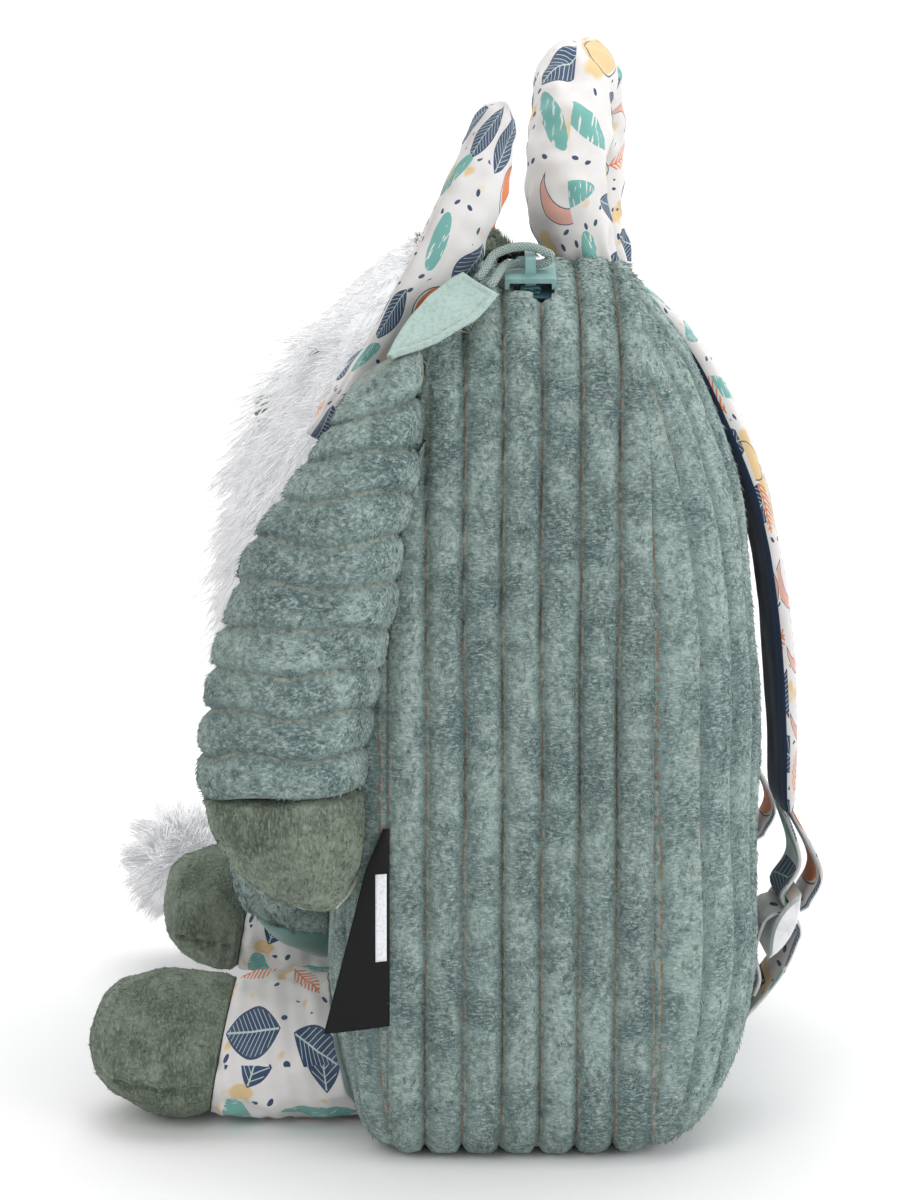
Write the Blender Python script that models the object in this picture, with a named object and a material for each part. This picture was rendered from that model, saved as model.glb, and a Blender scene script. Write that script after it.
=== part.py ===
"""Kids animal backpack: a hollow ribbed plush bag with a stuffed animal on its front.

Metres, +Z up, +Y is the wearer's side and -Y the animal's. The origin is the middle of the
flat base. The +X half is the near side and the -X half the far side.
"""

import math

import bmesh
import bpy
import numpy as np
from mathutils import Matrix, Vector

# Bag
BAG_WIDTH = 0.200
BAG_HEIGHT = 0.262
SHOULDER_RISE = 0.062
ARCH_POWER = 3.4
FOOT_RADIUS = 0.014
WAIST_SHARE = 0.75
BAND_FRONT = 0.0380
BAND_REAR = 0.0390
FRONT_LEAN = 0.0165
REAR_LEAN = 0.0068
WAIST_REAR_SHARE = 0.28
WALL = 0.003
EDGE_DRAW = 0.0015

# Ribbed plush
RIB_PITCH = 0.0113
RIB_RELIEF = 0.0025

# Panels
BACK_DEPTH = 0.0305
FRONT_DEPTH = 0.0150
SIDE_RUN = 0.030
TOP_RUN = 0.120
FOOT_RUN = 0.060

# Gaps between pieces
SEAM_GAP = 0.0004
CLEARANCE = 0.0003

# Zip
SLOT_SHIFT = -0.0026
SLOT_CENTRE = (BAND_REAR - REAR_LEAN - BAND_FRONT + FRONT_LEAN) / 2 + SLOT_SHIFT
SLOT_WIDTH = 0.0160
SLOT_FAR_END = -0.39 * BAG_WIDTH
SLOT_NEAR_END = 0.42 * BAG_WIDTH
TAPE_THICKNESS = 0.0010
TAPE_DEPTH = 0.0020
COIL_WIDTH = 0.0056
COIL_BELOW = 0.0004
SLIDER_X = 0.37 * BAG_WIDTH
SLIDER_LENGTH = 0.0150
SLIDER_WIDTH = 0.0146
SLIDER_PLATE = 0.0013
SLIDER_PLAY = 0.0008
LOWER_PLATE_WIDTH = 0.0120
POST_WIDTH = 0.0030
BRIDGE_WIDTH = 0.0030
BRIDGE_BAR = 0.0013
BRIDGE_LENGTH = 0.0085
BRIDGE_PLAY = 0.0008
CORD_DIAMETER = 0.0026

# Pull tab
TAB_LENGTH = 0.037
TAB_WIDTH = 0.0165
TAB_THICKNESS = 0.0020
# Root and tip in the slider's frame: along the zip, across it and out of the bag
TAB_ROOT = Vector((0.0127, -0.0142, 0.0021))
TAB_TIP = Vector((0.0371, -0.0393, -0.0098))
TAB_FACING = Vector((0.72, -0.03, 0.69))

# Handle
HANDLE_DIAMETER = 0.0250
HANDLE_SPAN = 0.0615
HANDLE_HEIGHT = 0.0680
HANDLE_Y = SLOT_CENTRE + 0.0183
HANDLE_TWIST = 0.0095

# Head
HEAD_CENTRE = Vector((0.0, -BAND_FRONT - 0.0020, 0.756 * BAG_HEIGHT))
HEAD_HALF_WIDTH = 0.072
HEAD_HALF_DEPTH = 0.039
HEAD_HALF_HEIGHT = 0.080
HEAD_TILT = math.radians(25.0)
HEAD_SPLIT_Y = HEAD_CENTRE.y + 0.0100
LOCK_LENGTH = 0.030
LOCK_RADIUS = 0.0115
LOCK_SIDES = 4
EYE_RADIUS = 0.0055
NOSE_RADIUS = 0.0090
FACE_STANDOFF = 0.0045

# Ears
EAR_LENGTH = 0.108
EAR_WIDTH = 0.038
EAR_THICKNESS = 0.013
EAR_CUP = 0.006
EAR_BOW = 0.009
EAR_ROOT = HEAD_CENTRE + Vector((0.86 * HEAD_HALF_WIDTH, -0.0190, 0.0100))
EAR_TIP = EAR_ROOT + Vector((0.0080, 0.0525, 0.0930))

# Arms
ARM_X = 0.4925 * BAG_WIDTH
ARM_TOP = 0.874 * BAG_HEIGHT
ARM_LENGTH = 0.1520
ARM_WIDTH = 0.0460
ARM_THICKNESS = 0.0350
ARM_CENTRE_Y = -BAND_FRONT - 0.0294
ARM_SWEEP = 0.0290
CUFF_SHARE = 0.780
SLEEVE_RIBS = 10

# Legs
LEG_X = 0.275 * BAG_WIDTH
LEG_DIAMETER = 0.0440
LEG_LENGTH = 0.0510
FOOT_LENGTH = 0.0410
LEG_ROOT_Y = -BAND_FRONT + 0.0080
LEG_CUFF_Y = -BAND_FRONT - LEG_LENGTH
FOOT_TIP_Y = LEG_CUFF_Y - FOOT_LENGTH
FAR_LEG_LIFT = 0.0130
FAR_LEG_PULL = 0.0085

# Belly
BELLY_CENTRE = Vector((0.0, -BAND_FRONT - 0.0210, 0.3015 * BAG_HEIGHT))
BELLY_HALF_WIDTH = 0.050
BELLY_HALF_DEPTH = 0.0340
BELLY_HALF_HEIGHT = 0.0450
BELLY_SPLIT_Z = BELLY_CENTRE.z - 0.0260
BELLY_RIBS = 8

# Tail
TUFT_CENTRE = Vector((-BAG_WIDTH / 2 - 0.0060, -BAND_FRONT - 0.0830, 0.0405))
TUFT_RADIUS = 0.0195
TUFT_LOCK = 0.0150
TAIL_DIAMETER = 0.0200
TAIL_ROOT_Y = -BAND_FRONT + 0.0200
TAIL_ROOT_Z = 0.0460

# Shoulder straps
STRAP_X = 0.235 * BAG_WIDTH
STRAP_WIDTH = 0.0340
STRAP_THICKNESS = 0.0085
WEBBING_WIDTH = 0.0240
WEBBING_THICKNESS = 0.0014
ADJUSTER_WIDTH = 0.0300
ADJUSTER_LENGTH = 0.0224
ADJUSTER_THICKNESS = 0.0060
ADJUSTER_TILT = math.radians(23.5)
# How far back a strap, its webbing and its adjuster can lie: the crest of the ribbed back
BACK_CREST = BAND_REAR - WAIST_REAR_SHARE * REAR_LEAN + SEAM_GAP + BACK_DEPTH + RIB_RELIEF
ADJUSTER_CENTRE = Vector((STRAP_X, BACK_CREST + 0.0106, 0.230 * BAG_HEIGHT))

# Label tab
LABEL_THICKNESS = 0.0010
LABEL_TOP_Z = 0.378 * BAG_HEIGHT
LABEL_DROP = 0.0600
LABEL_WIDTH = 0.0185

X_AXIS = Vector((1.0, 0.0, 0.0))
Y_AXIS = Vector((0.0, 1.0, 0.0))
Z_AXIS = Vector((0.0, 0.0, 1.0))


# Scene and materials

def clear_scene():
    for thing in list(bpy.data.objects):
        bpy.data.objects.remove(thing, do_unlink=True)


def new_collection(name):
    made = bpy.data.collections.new(name)
    bpy.context.scene.collection.children.link(made)
    return made


def finish(name, colour, roughness, metallic=0.0):
    """A Principled material of one colour."""
    made = bpy.data.materials.new(name)
    made.use_nodes = True
    shader = made.node_tree.nodes["Principled BSDF"]
    shader.inputs["Base Color"].default_value = (*colour, 1.0)
    shader.inputs["Roughness"].default_value = roughness
    shader.inputs["Metallic"].default_value = metallic
    made.diffuse_color = (*colour, 1.0)
    return made


clear_scene()
PARTS = new_collection("kids_animal_backpack")
CUTTERS = new_collection("cutters")
FINISHES = {
    "plush": finish("plush", (0.20, 0.29, 0.27), 0.95),
    "olive_plush": finish("olive_plush", (0.20, 0.24, 0.18), 0.95),
    "fur": finish("fur", (0.86, 0.86, 0.87), 0.90),
    "print": finish("print", (0.82, 0.79, 0.76), 0.80),
    "smooth_teal": finish("smooth_teal", (0.22, 0.42, 0.38), 0.70),
    "mint": finish("mint", (0.40, 0.57, 0.52), 0.85),
    "moulded_teal": finish("moulded_teal", (0.23, 0.43, 0.43), 0.40),
    "zip_tape": finish("zip_tape", (0.05, 0.12, 0.15), 0.60),
    "white_plastic": finish("white_plastic", (0.88, 0.88, 0.90), 0.35),
    "black_satin": finish("black_satin", (0.01, 0.01, 0.01), 0.45),
    "black_plastic": finish("black_plastic", (0.01, 0.01, 0.01), 0.20),
}


# Mesh helpers

def to_object(bm, name, look, smooth=40.0):
    """Puts a bmesh into a named object, among the parts or, with no look, among the cutters."""
    bmesh.ops.recalc_face_normals(bm, faces=bm.faces)
    mesh = bpy.data.meshes.new(name)
    bm.to_mesh(mesh)
    bm.free()
    made = bpy.data.objects.new(name, mesh)
    if look is None:
        made.hide_render = True
        made.display_type = "WIRE"
        CUTTERS.objects.link(made)
        return made
    mesh.materials.append(FINISHES[look])
    PARTS.objects.link(made)
    mesh.shade_smooth()
    mesh.set_sharp_from_angle(angle=math.radians(smooth))
    return made


def loft(name, rings, look, closed=False):
    """Joins equal rings of points in order, and caps the two ends or joins them."""
    bm = bmesh.new()
    rows = [[bm.verts.new(point) for point in ring] for ring in rings]
    pairs = list(zip(rows, rows[1:]))
    if closed:
        pairs.append((rows[-1], rows[0]))
    for low, high in pairs:
        for i in range(len(low)):
            j = (i + 1) % len(low)
            bm.faces.new((low[i], low[j], high[j], high[i]))
    if not closed:
        bm.faces.new(rows[0][::-1])
        bm.faces.new(rows[-1])
    return to_object(bm, name, look)


def oval(centre, right, up, half_right, half_up, sides=10, power=2.0):
    """A ring of points on a superellipse in the plane of two unit vectors."""
    points = []
    for i in range(sides):
        turn = 2.0 * math.pi * (i + 0.5) / sides
        c = math.copysign(abs(math.cos(turn)) ** (2.0 / power), math.cos(turn))
        s = math.copysign(abs(math.sin(turn)) ** (2.0 / power), math.sin(turn))
        points.append(centre + right * (half_right * c) + up * (half_up * s))
    return points


def ball(name, centre, radii, look, turn=None, segments=16, rings=10):
    """A sphere stretched to three radii, turned and placed."""
    bm = bmesh.new()
    bmesh.ops.create_uvsphere(bm, u_segments=segments, v_segments=rings, radius=1.0)
    place = Matrix.Translation(centre) @ (turn or Matrix()) @ Matrix.Diagonal((*radii, 1.0))
    bmesh.ops.transform(bm, matrix=place, verts=bm.verts)
    return to_object(bm, name, look)


def box(name, low, high, look=None, place=None):
    """A box between two corners, in the frame of a placing matrix."""
    bm = bmesh.new()
    bmesh.ops.create_cube(bm, size=1.0)
    low, high = Vector(low), Vector(high)
    shape = Matrix.Translation((low + high) / 2) @ Matrix.Diagonal((*(high - low), 1.0))
    bmesh.ops.transform(bm, matrix=(place or Matrix()) @ shape, verts=bm.verts)
    return to_object(bm, name, look)


def combine(target, tool, operation="DIFFERENCE", use_self=False):
    step = target.modifiers.new(tool.name, "BOOLEAN")
    step.operation = operation
    step.solver = "EXACT"
    step.use_self = use_self
    step.object = tool


def tube(name, points, diameter, look, resolution, taper=None):
    """A round tube along a polyline, as a curve object with filled caps."""
    curve = bpy.data.curves.new(name, "CURVE")
    curve.dimensions = "3D"
    curve.bevel_depth = diameter / 2
    curve.bevel_resolution = resolution
    curve.use_fill_caps = True
    spline = curve.splines.new("POLY")
    spline.points.add(len(points) - 1)
    for i, point in enumerate(points):
        spline.points[i].co = (*point, 1.0)
        spline.points[i].radius = taper[i] if taper else 1.0
    curve.materials.append(FINISHES[look])
    made = bpy.data.objects.new(name, curve)
    PARTS.objects.link(made)
    return made


def as_mesh(made):
    """The curve object's surface as a closed mesh object of the same name."""
    bpy.context.view_layer.update()
    evaluated = made.evaluated_get(bpy.context.evaluated_depsgraph_get())
    mesh = bpy.data.meshes.new_from_object(evaluated)
    name, place = made.name, made.matrix_world.copy()
    bpy.data.objects.remove(made, do_unlink=True)
    bm = bmesh.new()
    bm.from_mesh(mesh)
    bmesh.ops.remove_doubles(bm, verts=bm.verts, dist=1e-6)
    bmesh.ops.recalc_face_normals(bm, faces=bm.faces)
    bm.to_mesh(mesh)
    bm.free()
    solid = bpy.data.objects.new(name, mesh)
    solid.matrix_world = place
    PARTS.objects.link(solid)
    mesh.shade_smooth()
    return solid


def smooth_path(knots, count):
    """count points on a Catmull-Rom curve through the knots."""
    knots = [Vector(k) for k in knots]
    padded = [2 * knots[0] - knots[1], *knots, 2 * knots[-1] - knots[-2]]
    points = []
    for i in range(count):
        place = i * (len(knots) - 1) / (count - 1)
        k = min(int(place), len(knots) - 2)
        t = place - k
        a, b, c, d = padded[k:k + 4]
        points.append(0.5 * (2 * b + (c - a) * t + (2 * a - 5 * b + 4 * c - d) * t ** 2
                             + (3 * b - a - 3 * c + d) * t ** 3))
    return points


def mirrored(point, side):
    return Vector((point[0] * side, point[1], point[2]))


# Outline of the bag, seen from the front

SPRING = BAG_HEIGHT - SHOULDER_RISE
HALF_WIDTH = BAG_WIDTH / 2

# Lean of the two long seams: height, and shares of the front and rear lean
SEAM_LEAN = (
    (0.0, 0.00, 0.00),
    (WAIST_SHARE * SPRING, 0.03, WAIST_REAR_SHARE),
    (SPRING, 0.38, 0.47),
    (BAG_HEIGHT, 1.00, 1.00),
)
SIDES = {"front": -1.0, "back": 1.0}


def seam_y(side, z):
    """Where the front or back seam lies at a height."""
    heights = [row[0] for row in SEAM_LEAN]
    if side == "front":
        return -BAND_FRONT + FRONT_LEAN * float(np.interp(z, heights, [r[1] for r in SEAM_LEAN]))
    return BAND_REAR - REAR_LEAN * float(np.interp(z, heights, [r[2] for r in SEAM_LEAN]))


def arch_top(x, inset=0.0):
    half, rise = HALF_WIDTH - inset, SHOULDER_RISE - inset
    share = min(1.0, abs(x) / half)
    return SPRING + rise * (1.0 - share ** ARCH_POWER) ** (1.0 / ARCH_POWER)


def arch_foot(x, inset=0.0):
    radius = FOOT_RADIUS - inset
    past = abs(x) - (HALF_WIDTH - FOOT_RADIUS)
    if past <= 0.0:
        return inset
    return FOOT_RADIUS - math.sqrt(max(0.0, radius ** 2 - past ** 2))


def arch_normal(x):
    """Outward direction of the arched top at a place across it."""
    share = min(0.9999, abs(x) / HALF_WIDTH)
    rise = (1.0 - share ** ARCH_POWER) ** (1.0 / ARCH_POWER)
    out = share ** (ARCH_POWER - 1.0) / HALF_WIDTH
    up = rise ** (ARCH_POWER - 1.0) / SHOULDER_RISE
    return Vector((math.copysign(out, x), 0.0, up)).normalized()


def outline(arch_steps=14, corner_steps=2):
    """The crest outline as places with outward directions, right half then left."""
    right = [(Vector((0, 0, 0)), -Z_AXIS)]
    corner = Vector((HALF_WIDTH - FOOT_RADIUS, 0, FOOT_RADIUS))
    for i in range(corner_steps + 1):
        turn = math.pi / 2 * i / corner_steps
        out = Vector((math.sin(turn), 0, -math.cos(turn)))
        right.append((corner + out * FOOT_RADIUS, out))
    right.append((Vector((HALF_WIDTH, 0, WAIST_SHARE * SPRING)), X_AXIS))
    right.append((Vector((HALF_WIDTH, 0, SPRING)), X_AXIS))
    half_steps = arch_steps // 2
    for i in range(1, half_steps):
        x = HALF_WIDTH * math.cos(math.pi / 2 * i / half_steps) ** (2.0 / ARCH_POWER)
        right.append((Vector((x, 0, arch_top(x))), arch_normal(x)))
    left = [(mirrored(p, -1), mirrored(n, -1)) for p, n in reversed(right[1:])]
    return right + [(Vector((0, 0, BAG_HEIGHT)), Z_AXIS)] + left


# The bag

def side_band():
    """Ribbed profile carried round the outline: ribs outside, a plain face inside."""
    across = BAND_FRONT + BAND_REAR
    ribs = round(across / RIB_PITCH)
    profile = []
    for i in range(3 * ribs + 1):
        share = i / (3 * ribs)
        draw = EDGE_DRAW * (2 * share - 1) ** 2
        profile.append((share, draw + (RIB_RELIEF if i % 3 == 0 else 0.0)))
    inner = RIB_RELIEF + WALL + EDGE_DRAW
    profile += [(1.0, inner), (0.5, inner), (0.0, inner)]
    rings = []
    for place, out in outline():
        ring = []
        for share, depth in profile:
            point = place - out * depth
            front = seam_y("front", point.z) + SEAM_GAP / 2
            back = seam_y("back", point.z) - SEAM_GAP / 2
            ring.append(Vector((point.x, front + (back - front) * share, point.z)))
        rings.append(ring)
    band = loft("side_band", rings, "plush", closed=True)
    slot = box("slot_cutter", (SLOT_FAR_END, SLOT_CENTRE - SLOT_WIDTH / 2, SPRING),
               (SLOT_NEAR_END, SLOT_CENTRE + SLOT_WIDTH / 2, BAG_HEIGHT * 1.2))
    combine(band, slot)
    return band


def rounding(run, length, power=2.0, root=2.0):
    """Rise of a rounded edge, from 0 at the outline to 1 a length inside it."""
    left = 1.0 - min(1.0, max(0.0, run / length))
    return (1.0 - left ** power) ** (1.0 / root)


def panel_block(name, side, look, inset, depth, relief, columns, rows, shift=0.0):
    """A domed block from the bag's middle plane out to a panel's surface.

    The depth is a product of rounded edges at the sides, the top and the foot, and each column
    carries the relief of its rib.
    """
    sign = SIDES[side]
    half = HALF_WIDTH - inset
    grid = []
    for x, rib in columns:
        low, high = arch_foot(x, inset), arch_top(x, inset)
        column = []
        for j in range(rows + 1):
            z = low + (high - low) * (1.0 - math.cos(math.pi * j / rows)) / 2
            share = (rounding(half - abs(x), SIDE_RUN) * rounding(high - z, TOP_RUN, 2.6, 1.0)
                     * rounding(z - low, FOOT_RUN))
            raised = depth * share + relief * rib * min(1.0, 3 * share) + shift
            y = seam_y(side, z) + sign * raised
            column.append(Vector((x, y, z)))
        grid.append(column)
    bm = bmesh.new()
    verts = [[bm.verts.new(p) for p in column] for column in grid]
    for left, right in zip(verts, verts[1:]):
        for j in range(rows):
            bm.faces.new((left[j], right[j], right[j + 1], left[j + 1]))
    edge = ([column[0] for column in verts] + verts[-1][1:]
            + [column[-1] for column in reversed(verts[:-1])] + verts[0][-2:0:-1])
    base = [bm.verts.new((v.co.x, 0.0, v.co.z)) for v in edge]
    for i in range(len(edge)):
        j = (i + 1) % len(edge)
        bm.faces.new((edge[i], edge[j], base[j], base[i]))
    bm.faces.new(base)
    return to_object(bm, name, look)


def even_columns(half, step, ribbed, rest=0.0):
    """Places across a panel, closer at its two edges, each with its share of a rib."""
    count = int((half - 0.2 * step) / step)
    inner = [(k * step, rest if not ribbed else float(k % ribbed > 0))
             for k in range(-count, count + 1)]
    past = [share for share in (0.93, 0.965) if share * half > count * step + 0.3 * step]
    edges = [(share * half, rest) for share in past] + [(0.994 * half, rest), (half, 0.0)]
    return [(-x, rib) for x, rib in reversed(edges)] + inner + edges


def seam_block(side):
    """All that lies on the band's side of a panel's seam."""
    sign = SIDES[side]
    reach = BAG_WIDTH
    heights = [-reach] + [row[0] for row in SEAM_LEAN] + [BAG_HEIGHT + reach]
    edge = [(seam_y(side, z) + sign * SEAM_GAP / 2, z) for z in heights]
    profile = edge + [(-sign * reach, heights[-1]), (-sign * reach, heights[0])]
    rings = [[Vector((x, y, z)) for y, z in profile] for x in (-reach, reach)]
    return loft(side + "_seam_cutter", rings, None)


def panel(side, depth, columns_per_rib, rows):
    """A domed shell: the ribbed block less the seam's side and a smaller smooth block."""
    inset = RIB_RELIEF
    half = HALF_WIDTH - inset
    step = RIB_PITCH / columns_per_rib
    outer = panel_block(side + "_panel", side, "plush", inset, depth, RIB_RELIEF,
                        even_columns(half, step, columns_per_rib), rows, SEAM_GAP)
    inner_half = half - WALL
    inner = panel_block(side + "_hollow_cutter", side, None, inset + WALL, depth - WALL, 0.0,
                        even_columns(inner_half, inner_half / 6, 0), 8)
    combine(outer, seam_block(side))
    combine(outer, inner)
    return outer


def bag_cutters():
    """The bag's outer form, grown by the clearance, that soft pieces are cut back from."""
    made = []
    for side, depth in (("front", FRONT_DEPTH), ("back", BACK_DEPTH)):
        inset = RIB_RELIEF - 2 * CLEARANCE
        half = HALF_WIDTH - inset
        made.append(panel_block(side + "_keep_clear", side, None, inset,
                                depth, RIB_RELIEF + CLEARANCE / 2,
                                even_columns(half, half / 14, 0, 1.0), 12,
                                SEAM_GAP + 1.5 * CLEARANCE))
    ends = []
    for side, sign in SIDES.items():
        ring = []
        for place, out in outline():
            point = place + out * CLEARANCE
            ring.append(Vector((point.x, seam_y(side, point.z) + sign * CLEARANCE, point.z)))
        ends.append(ring)
    made.append(loft("band_keep_clear", ends, None))
    return made


def keep_clear(piece, cutters):
    for cutter in cutters:
        combine(piece, cutter)
    return piece


# The zip, in a frame that lies on the sloping top at the slider

def slider_frame():
    out = arch_normal(SLIDER_X)
    along = Vector((out.z, 0.0, -out.x))
    turn = Matrix((along, Y_AXIS, out)).transposed().to_4x4()
    return Matrix.Translation((SLIDER_X, SLOT_CENTRE, arch_top(SLIDER_X))) @ turn


def zip_chain():
    """Tape with a raised coil, carried along the top just under the rib crests."""
    half_tape = SLOT_WIDTH / 2 - CLEARANCE
    half_coil = COIL_WIDTH / 2
    under = TAPE_DEPTH + TAPE_THICKNESS
    profile = [(-half_tape, under), (-half_coil, under), (-0.8 * half_coil, under + COIL_BELOW),
               (0.8 * half_coil, under + COIL_BELOW), (half_coil, under), (half_tape, under),
               (half_tape, TAPE_DEPTH), (half_coil, TAPE_DEPTH), (0.6 * half_coil, 0.0),
               (-0.6 * half_coil, 0.0), (-half_coil, TAPE_DEPTH), (-half_tape, TAPE_DEPTH)]
    rings = []
    end_gap = 2 * CLEARANCE
    start, stop = SLOT_FAR_END + under + end_gap, SLOT_NEAR_END - end_gap
    for i in range(13):
        x = start + (stop - start) * i / 12
        place, out = Vector((x, SLOT_CENTRE, arch_top(x))), arch_normal(x)
        rings.append([place + Y_AXIS * y - out * depth for y, depth in profile])
    chain = loft("zip_chain", rings, "zip_tape")
    notch = box("parting_cutter", (-CLEARANCE, -POST_WIDTH / 2 - CLEARANCE, -0.02),
                (0.03, POST_WIDTH / 2 + CLEARANCE, 0.01), place=slider_frame())
    combine(chain, notch)
    return chain


def zip_slider():
    """Two plates round the chain, joined by a post, with a bridge for the pull."""
    frame = slider_frame()
    half = SLIDER_LENGTH / 2
    top = CLEARANCE + SLIDER_PLATE
    under = -(TAPE_DEPTH + TAPE_THICKNESS + COIL_BELOW + SLIDER_PLAY)
    flange = -(TAPE_DEPTH - 1.5 * CLEARANCE)
    body = box("zip_slider", (-half, -SLIDER_WIDTH / 2, flange),
               (half, SLIDER_WIDTH / 2, top), "moulded_teal", frame)
    room = SLIDER_WIDTH / 2 - SLIDER_PLATE
    channel = box("channel_cutter", (-half - 0.01, -room, flange - 0.01),
                  (half + 0.01, room, CLEARANCE), place=frame)
    post = box("slider_post", (0.0, -POST_WIDTH / 2, under - SLIDER_PLATE / 2),
               (half * 0.8, POST_WIDTH / 2, top - SLIDER_PLATE / 2), place=frame)
    lower = box("slider_lower_plate", (-half * 0.9, -LOWER_PLATE_WIDTH / 2, under - SLIDER_PLATE),
                (half * 0.9, LOWER_PLATE_WIDTH / 2, under), place=frame)
    hole = CORD_DIAMETER + BRIDGE_PLAY
    bridge = box("slider_bridge", (-BRIDGE_LENGTH / 2, -BRIDGE_WIDTH / 2, top - SLIDER_PLATE / 2),
                 (BRIDGE_LENGTH / 2, BRIDGE_WIDTH / 2, top + hole + BRIDGE_BAR), place=frame)
    eye = box("bridge_eye_cutter", (-BRIDGE_LENGTH / 2 + BRIDGE_BAR, -0.01, top),
              (BRIDGE_LENGTH / 2 - BRIDGE_BAR, 0.01, top + hole), place=frame)
    combine(body, channel)
    combine(body, post, "UNION")
    combine(body, lower, "UNION")
    combine(body, bridge, "UNION")
    combine(body, eye)
    return body


def tab_frame():
    """Root of the leaf tab and its length, width and facing directions."""
    place = slider_frame()
    root = place @ TAB_ROOT
    along = (place @ TAB_TIP - root).normalized()
    facing = (TAB_FACING - along * TAB_FACING.dot(along)).normalized()
    return root, along, facing.cross(along), facing


def pull_tab():
    """A leaf: straight root, one full side, one flatter side, and a rounded tip."""
    root, along, across, facing = tab_frame()
    # Share of the length, and shares of the width to the upper and the lower side
    leaf = ((0.00, 0.40, 0.42), (0.15, 0.46, 0.50), (0.35, 0.44, 0.54), (0.60, 0.34, 0.46),
            (0.80, 0.22, 0.30), (0.94, 0.11, 0.14), (1.00, 0.03, 0.03))
    rings = []
    for share, upper, lower in leaf:
        middle = root + along * (TAB_LENGTH * share)
        centre = middle + across * (TAB_WIDTH * (lower - upper) / 2)
        half = TAB_WIDTH * (upper + lower) / 2
        rings.append(oval(centre, across, facing, half, TAB_THICKNESS / 2, 12, 4.0))
    return loft("pull_tab", rings, "mint")


def pull_cord():
    """A loop from the tab's root, over the bridge, back under it and to the tab again."""
    root, along, across, facing = tab_frame()
    frame = slider_frame()
    top = CLEARANCE + SLIDER_PLATE
    hole = CORD_DIAMETER + BRIDGE_PLAY
    eye = top + hole / 2
    over = top + hole + BRIDGE_BAR + CLEARANCE + CORD_DIAMETER / 2
    end = -CLEARANCE * 3
    spread = CORD_DIAMETER * 0.85
    # Route by hand, in the tab's frame at its two ends and in the slider's frame between
    start = root - across * spread + along * end
    stop = root + across * spread + along * end
    knots = [
        start,
        start - along * 0.0025 + facing * 0.0003,
        frame @ Vector((0.0030, -0.0105, over - 0.0010)),
        frame @ Vector((0.0008, -0.0050, over + 0.0006)),
        frame @ Vector((0.0000, 0.0005, over + 0.0004)),
        frame @ Vector((0.0000, 0.0046, over - 0.0012)),
        frame @ Vector((0.0000, 0.0058, (over + eye) / 2)),
        frame @ Vector((0.0000, 0.0042, eye + 0.0003)),
        frame @ Vector((0.0000, 0.0000, eye)),
        frame @ Vector((0.0000, -0.0040, eye)),
        frame @ Vector((0.0028, -0.0078, eye + 0.0002)),
        stop - along * 0.0025 + facing * 0.0003,
        stop,
    ]
    return tube("pull_cord", smooth_path(knots, 19), CORD_DIAMETER, "mint", 2)


# Handle and straps

def handle(cutters):
    """A stuffed loop standing on the top behind the zip, slightly twisted."""
    half = HANDLE_SPAN / 2
    top = BAG_HEIGHT + HANDLE_HEIGHT - HANDLE_DIAMETER / 2
    foot = BAG_HEIGHT - 0.25 * HANDLE_DIAMETER
    rise = top - foot
    # Shares of the half span and of the rise, lean share and thickness share
    arch = ((0.97, 0.00, 1.0, 0.86), (1.00, 0.18, 0.3, 0.95), (1.02, 0.40, -0.2, 1.0),
            (0.93, 0.68, -0.1, 1.0), (0.66, 0.89, 0.0, 1.0), (0.33, 0.98, 0.0, 0.98),
            (0.0, 1.00, 0.0, 0.97))
    knots, girth = [], []
    for side in (1, -1):
        rows = arch if side > 0 else arch[-2::-1]
        for across, up, lean, size in rows:
            y = HANDLE_Y + lean * 0.006 - side * across * HANDLE_TWIST / 2
            knots.append(Vector((side * across * half, y, foot + rise * up)))
            girth.append(size)
    count = 17
    points = smooth_path(knots, count)
    taper = list(np.interp(np.linspace(0, 1, count), np.linspace(0, 1, len(girth)), girth))
    return keep_clear(as_mesh(tube("handle", points, HANDLE_DIAMETER, "print", 3, taper)),
                      cutters)


# Middle line of a padded strap: distance behind the back's crest, height, thickness share
STRAP_LINE = (
    (-0.0400, 0.966, 0.55), (-0.0300, 0.937, 0.75), (-0.0180, 0.882, 0.95),
    (-0.0085, 0.812, 1.05), (-0.0005, 0.740, 1.00), (0.0030, 0.690, 0.80),
    (0.0062, 0.630, 0.90), (0.0090, 0.545, 0.90), (0.0105, 0.450, 0.85),
    (0.0108, 0.385, 0.70), (0.0110, 0.366, 0.40),
)


def facing_strip(points, half_width, thicknesses, x, sides=4, power=2.0):
    """Rings of a strip that lies along a path in the side view and is wide across it."""
    rings = []
    for i, (y, z) in enumerate(points):
        before, after = points[max(0, i - 1)], points[min(len(points) - 1, i + 1)]
        run = Vector((0.0, after[0] - before[0], after[1] - before[1])).normalized()
        out = Vector((0.0, -run.z, run.y))
        half = thicknesses[i] / 2
        centre = Vector((x, y, z))
        if sides == 4:
            rings.append([centre + X_AXIS * (a * half_width) + out * (b * half)
                          for a, b in ((-1, -1), (1, -1), (1, 1), (-1, 1))])
        else:
            rings.append(oval(centre, X_AXIS, out, half_width, half, sides, power))
    return rings


def strap_points():
    return [(BACK_CREST + past, BAG_HEIGHT * up) for past, up, size in STRAP_LINE]


def strap(name, side, cutters):
    sizes = [STRAP_THICKNESS * size for past, up, size in STRAP_LINE]
    rings = facing_strip(strap_points(), STRAP_WIDTH / 2, sizes, side * STRAP_X, 10, 3.0)
    return keep_clear(loft("strap_" + name, rings, "print"), cutters)


def adjuster_point(along, out):
    """Side-view place of a point given along and out of the adjuster's plate."""
    c, s = math.cos(ADJUSTER_TILT), math.sin(ADJUSTER_TILT)
    return (ADJUSTER_CENTRE.y + along * s + out * c, ADJUSTER_CENTRE.z + along * c - out * s)


SLOT_TOP = 0.32 * ADJUSTER_LENGTH
SLOT_BOTTOM = 0.06 * ADJUSTER_LENGTH
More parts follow.
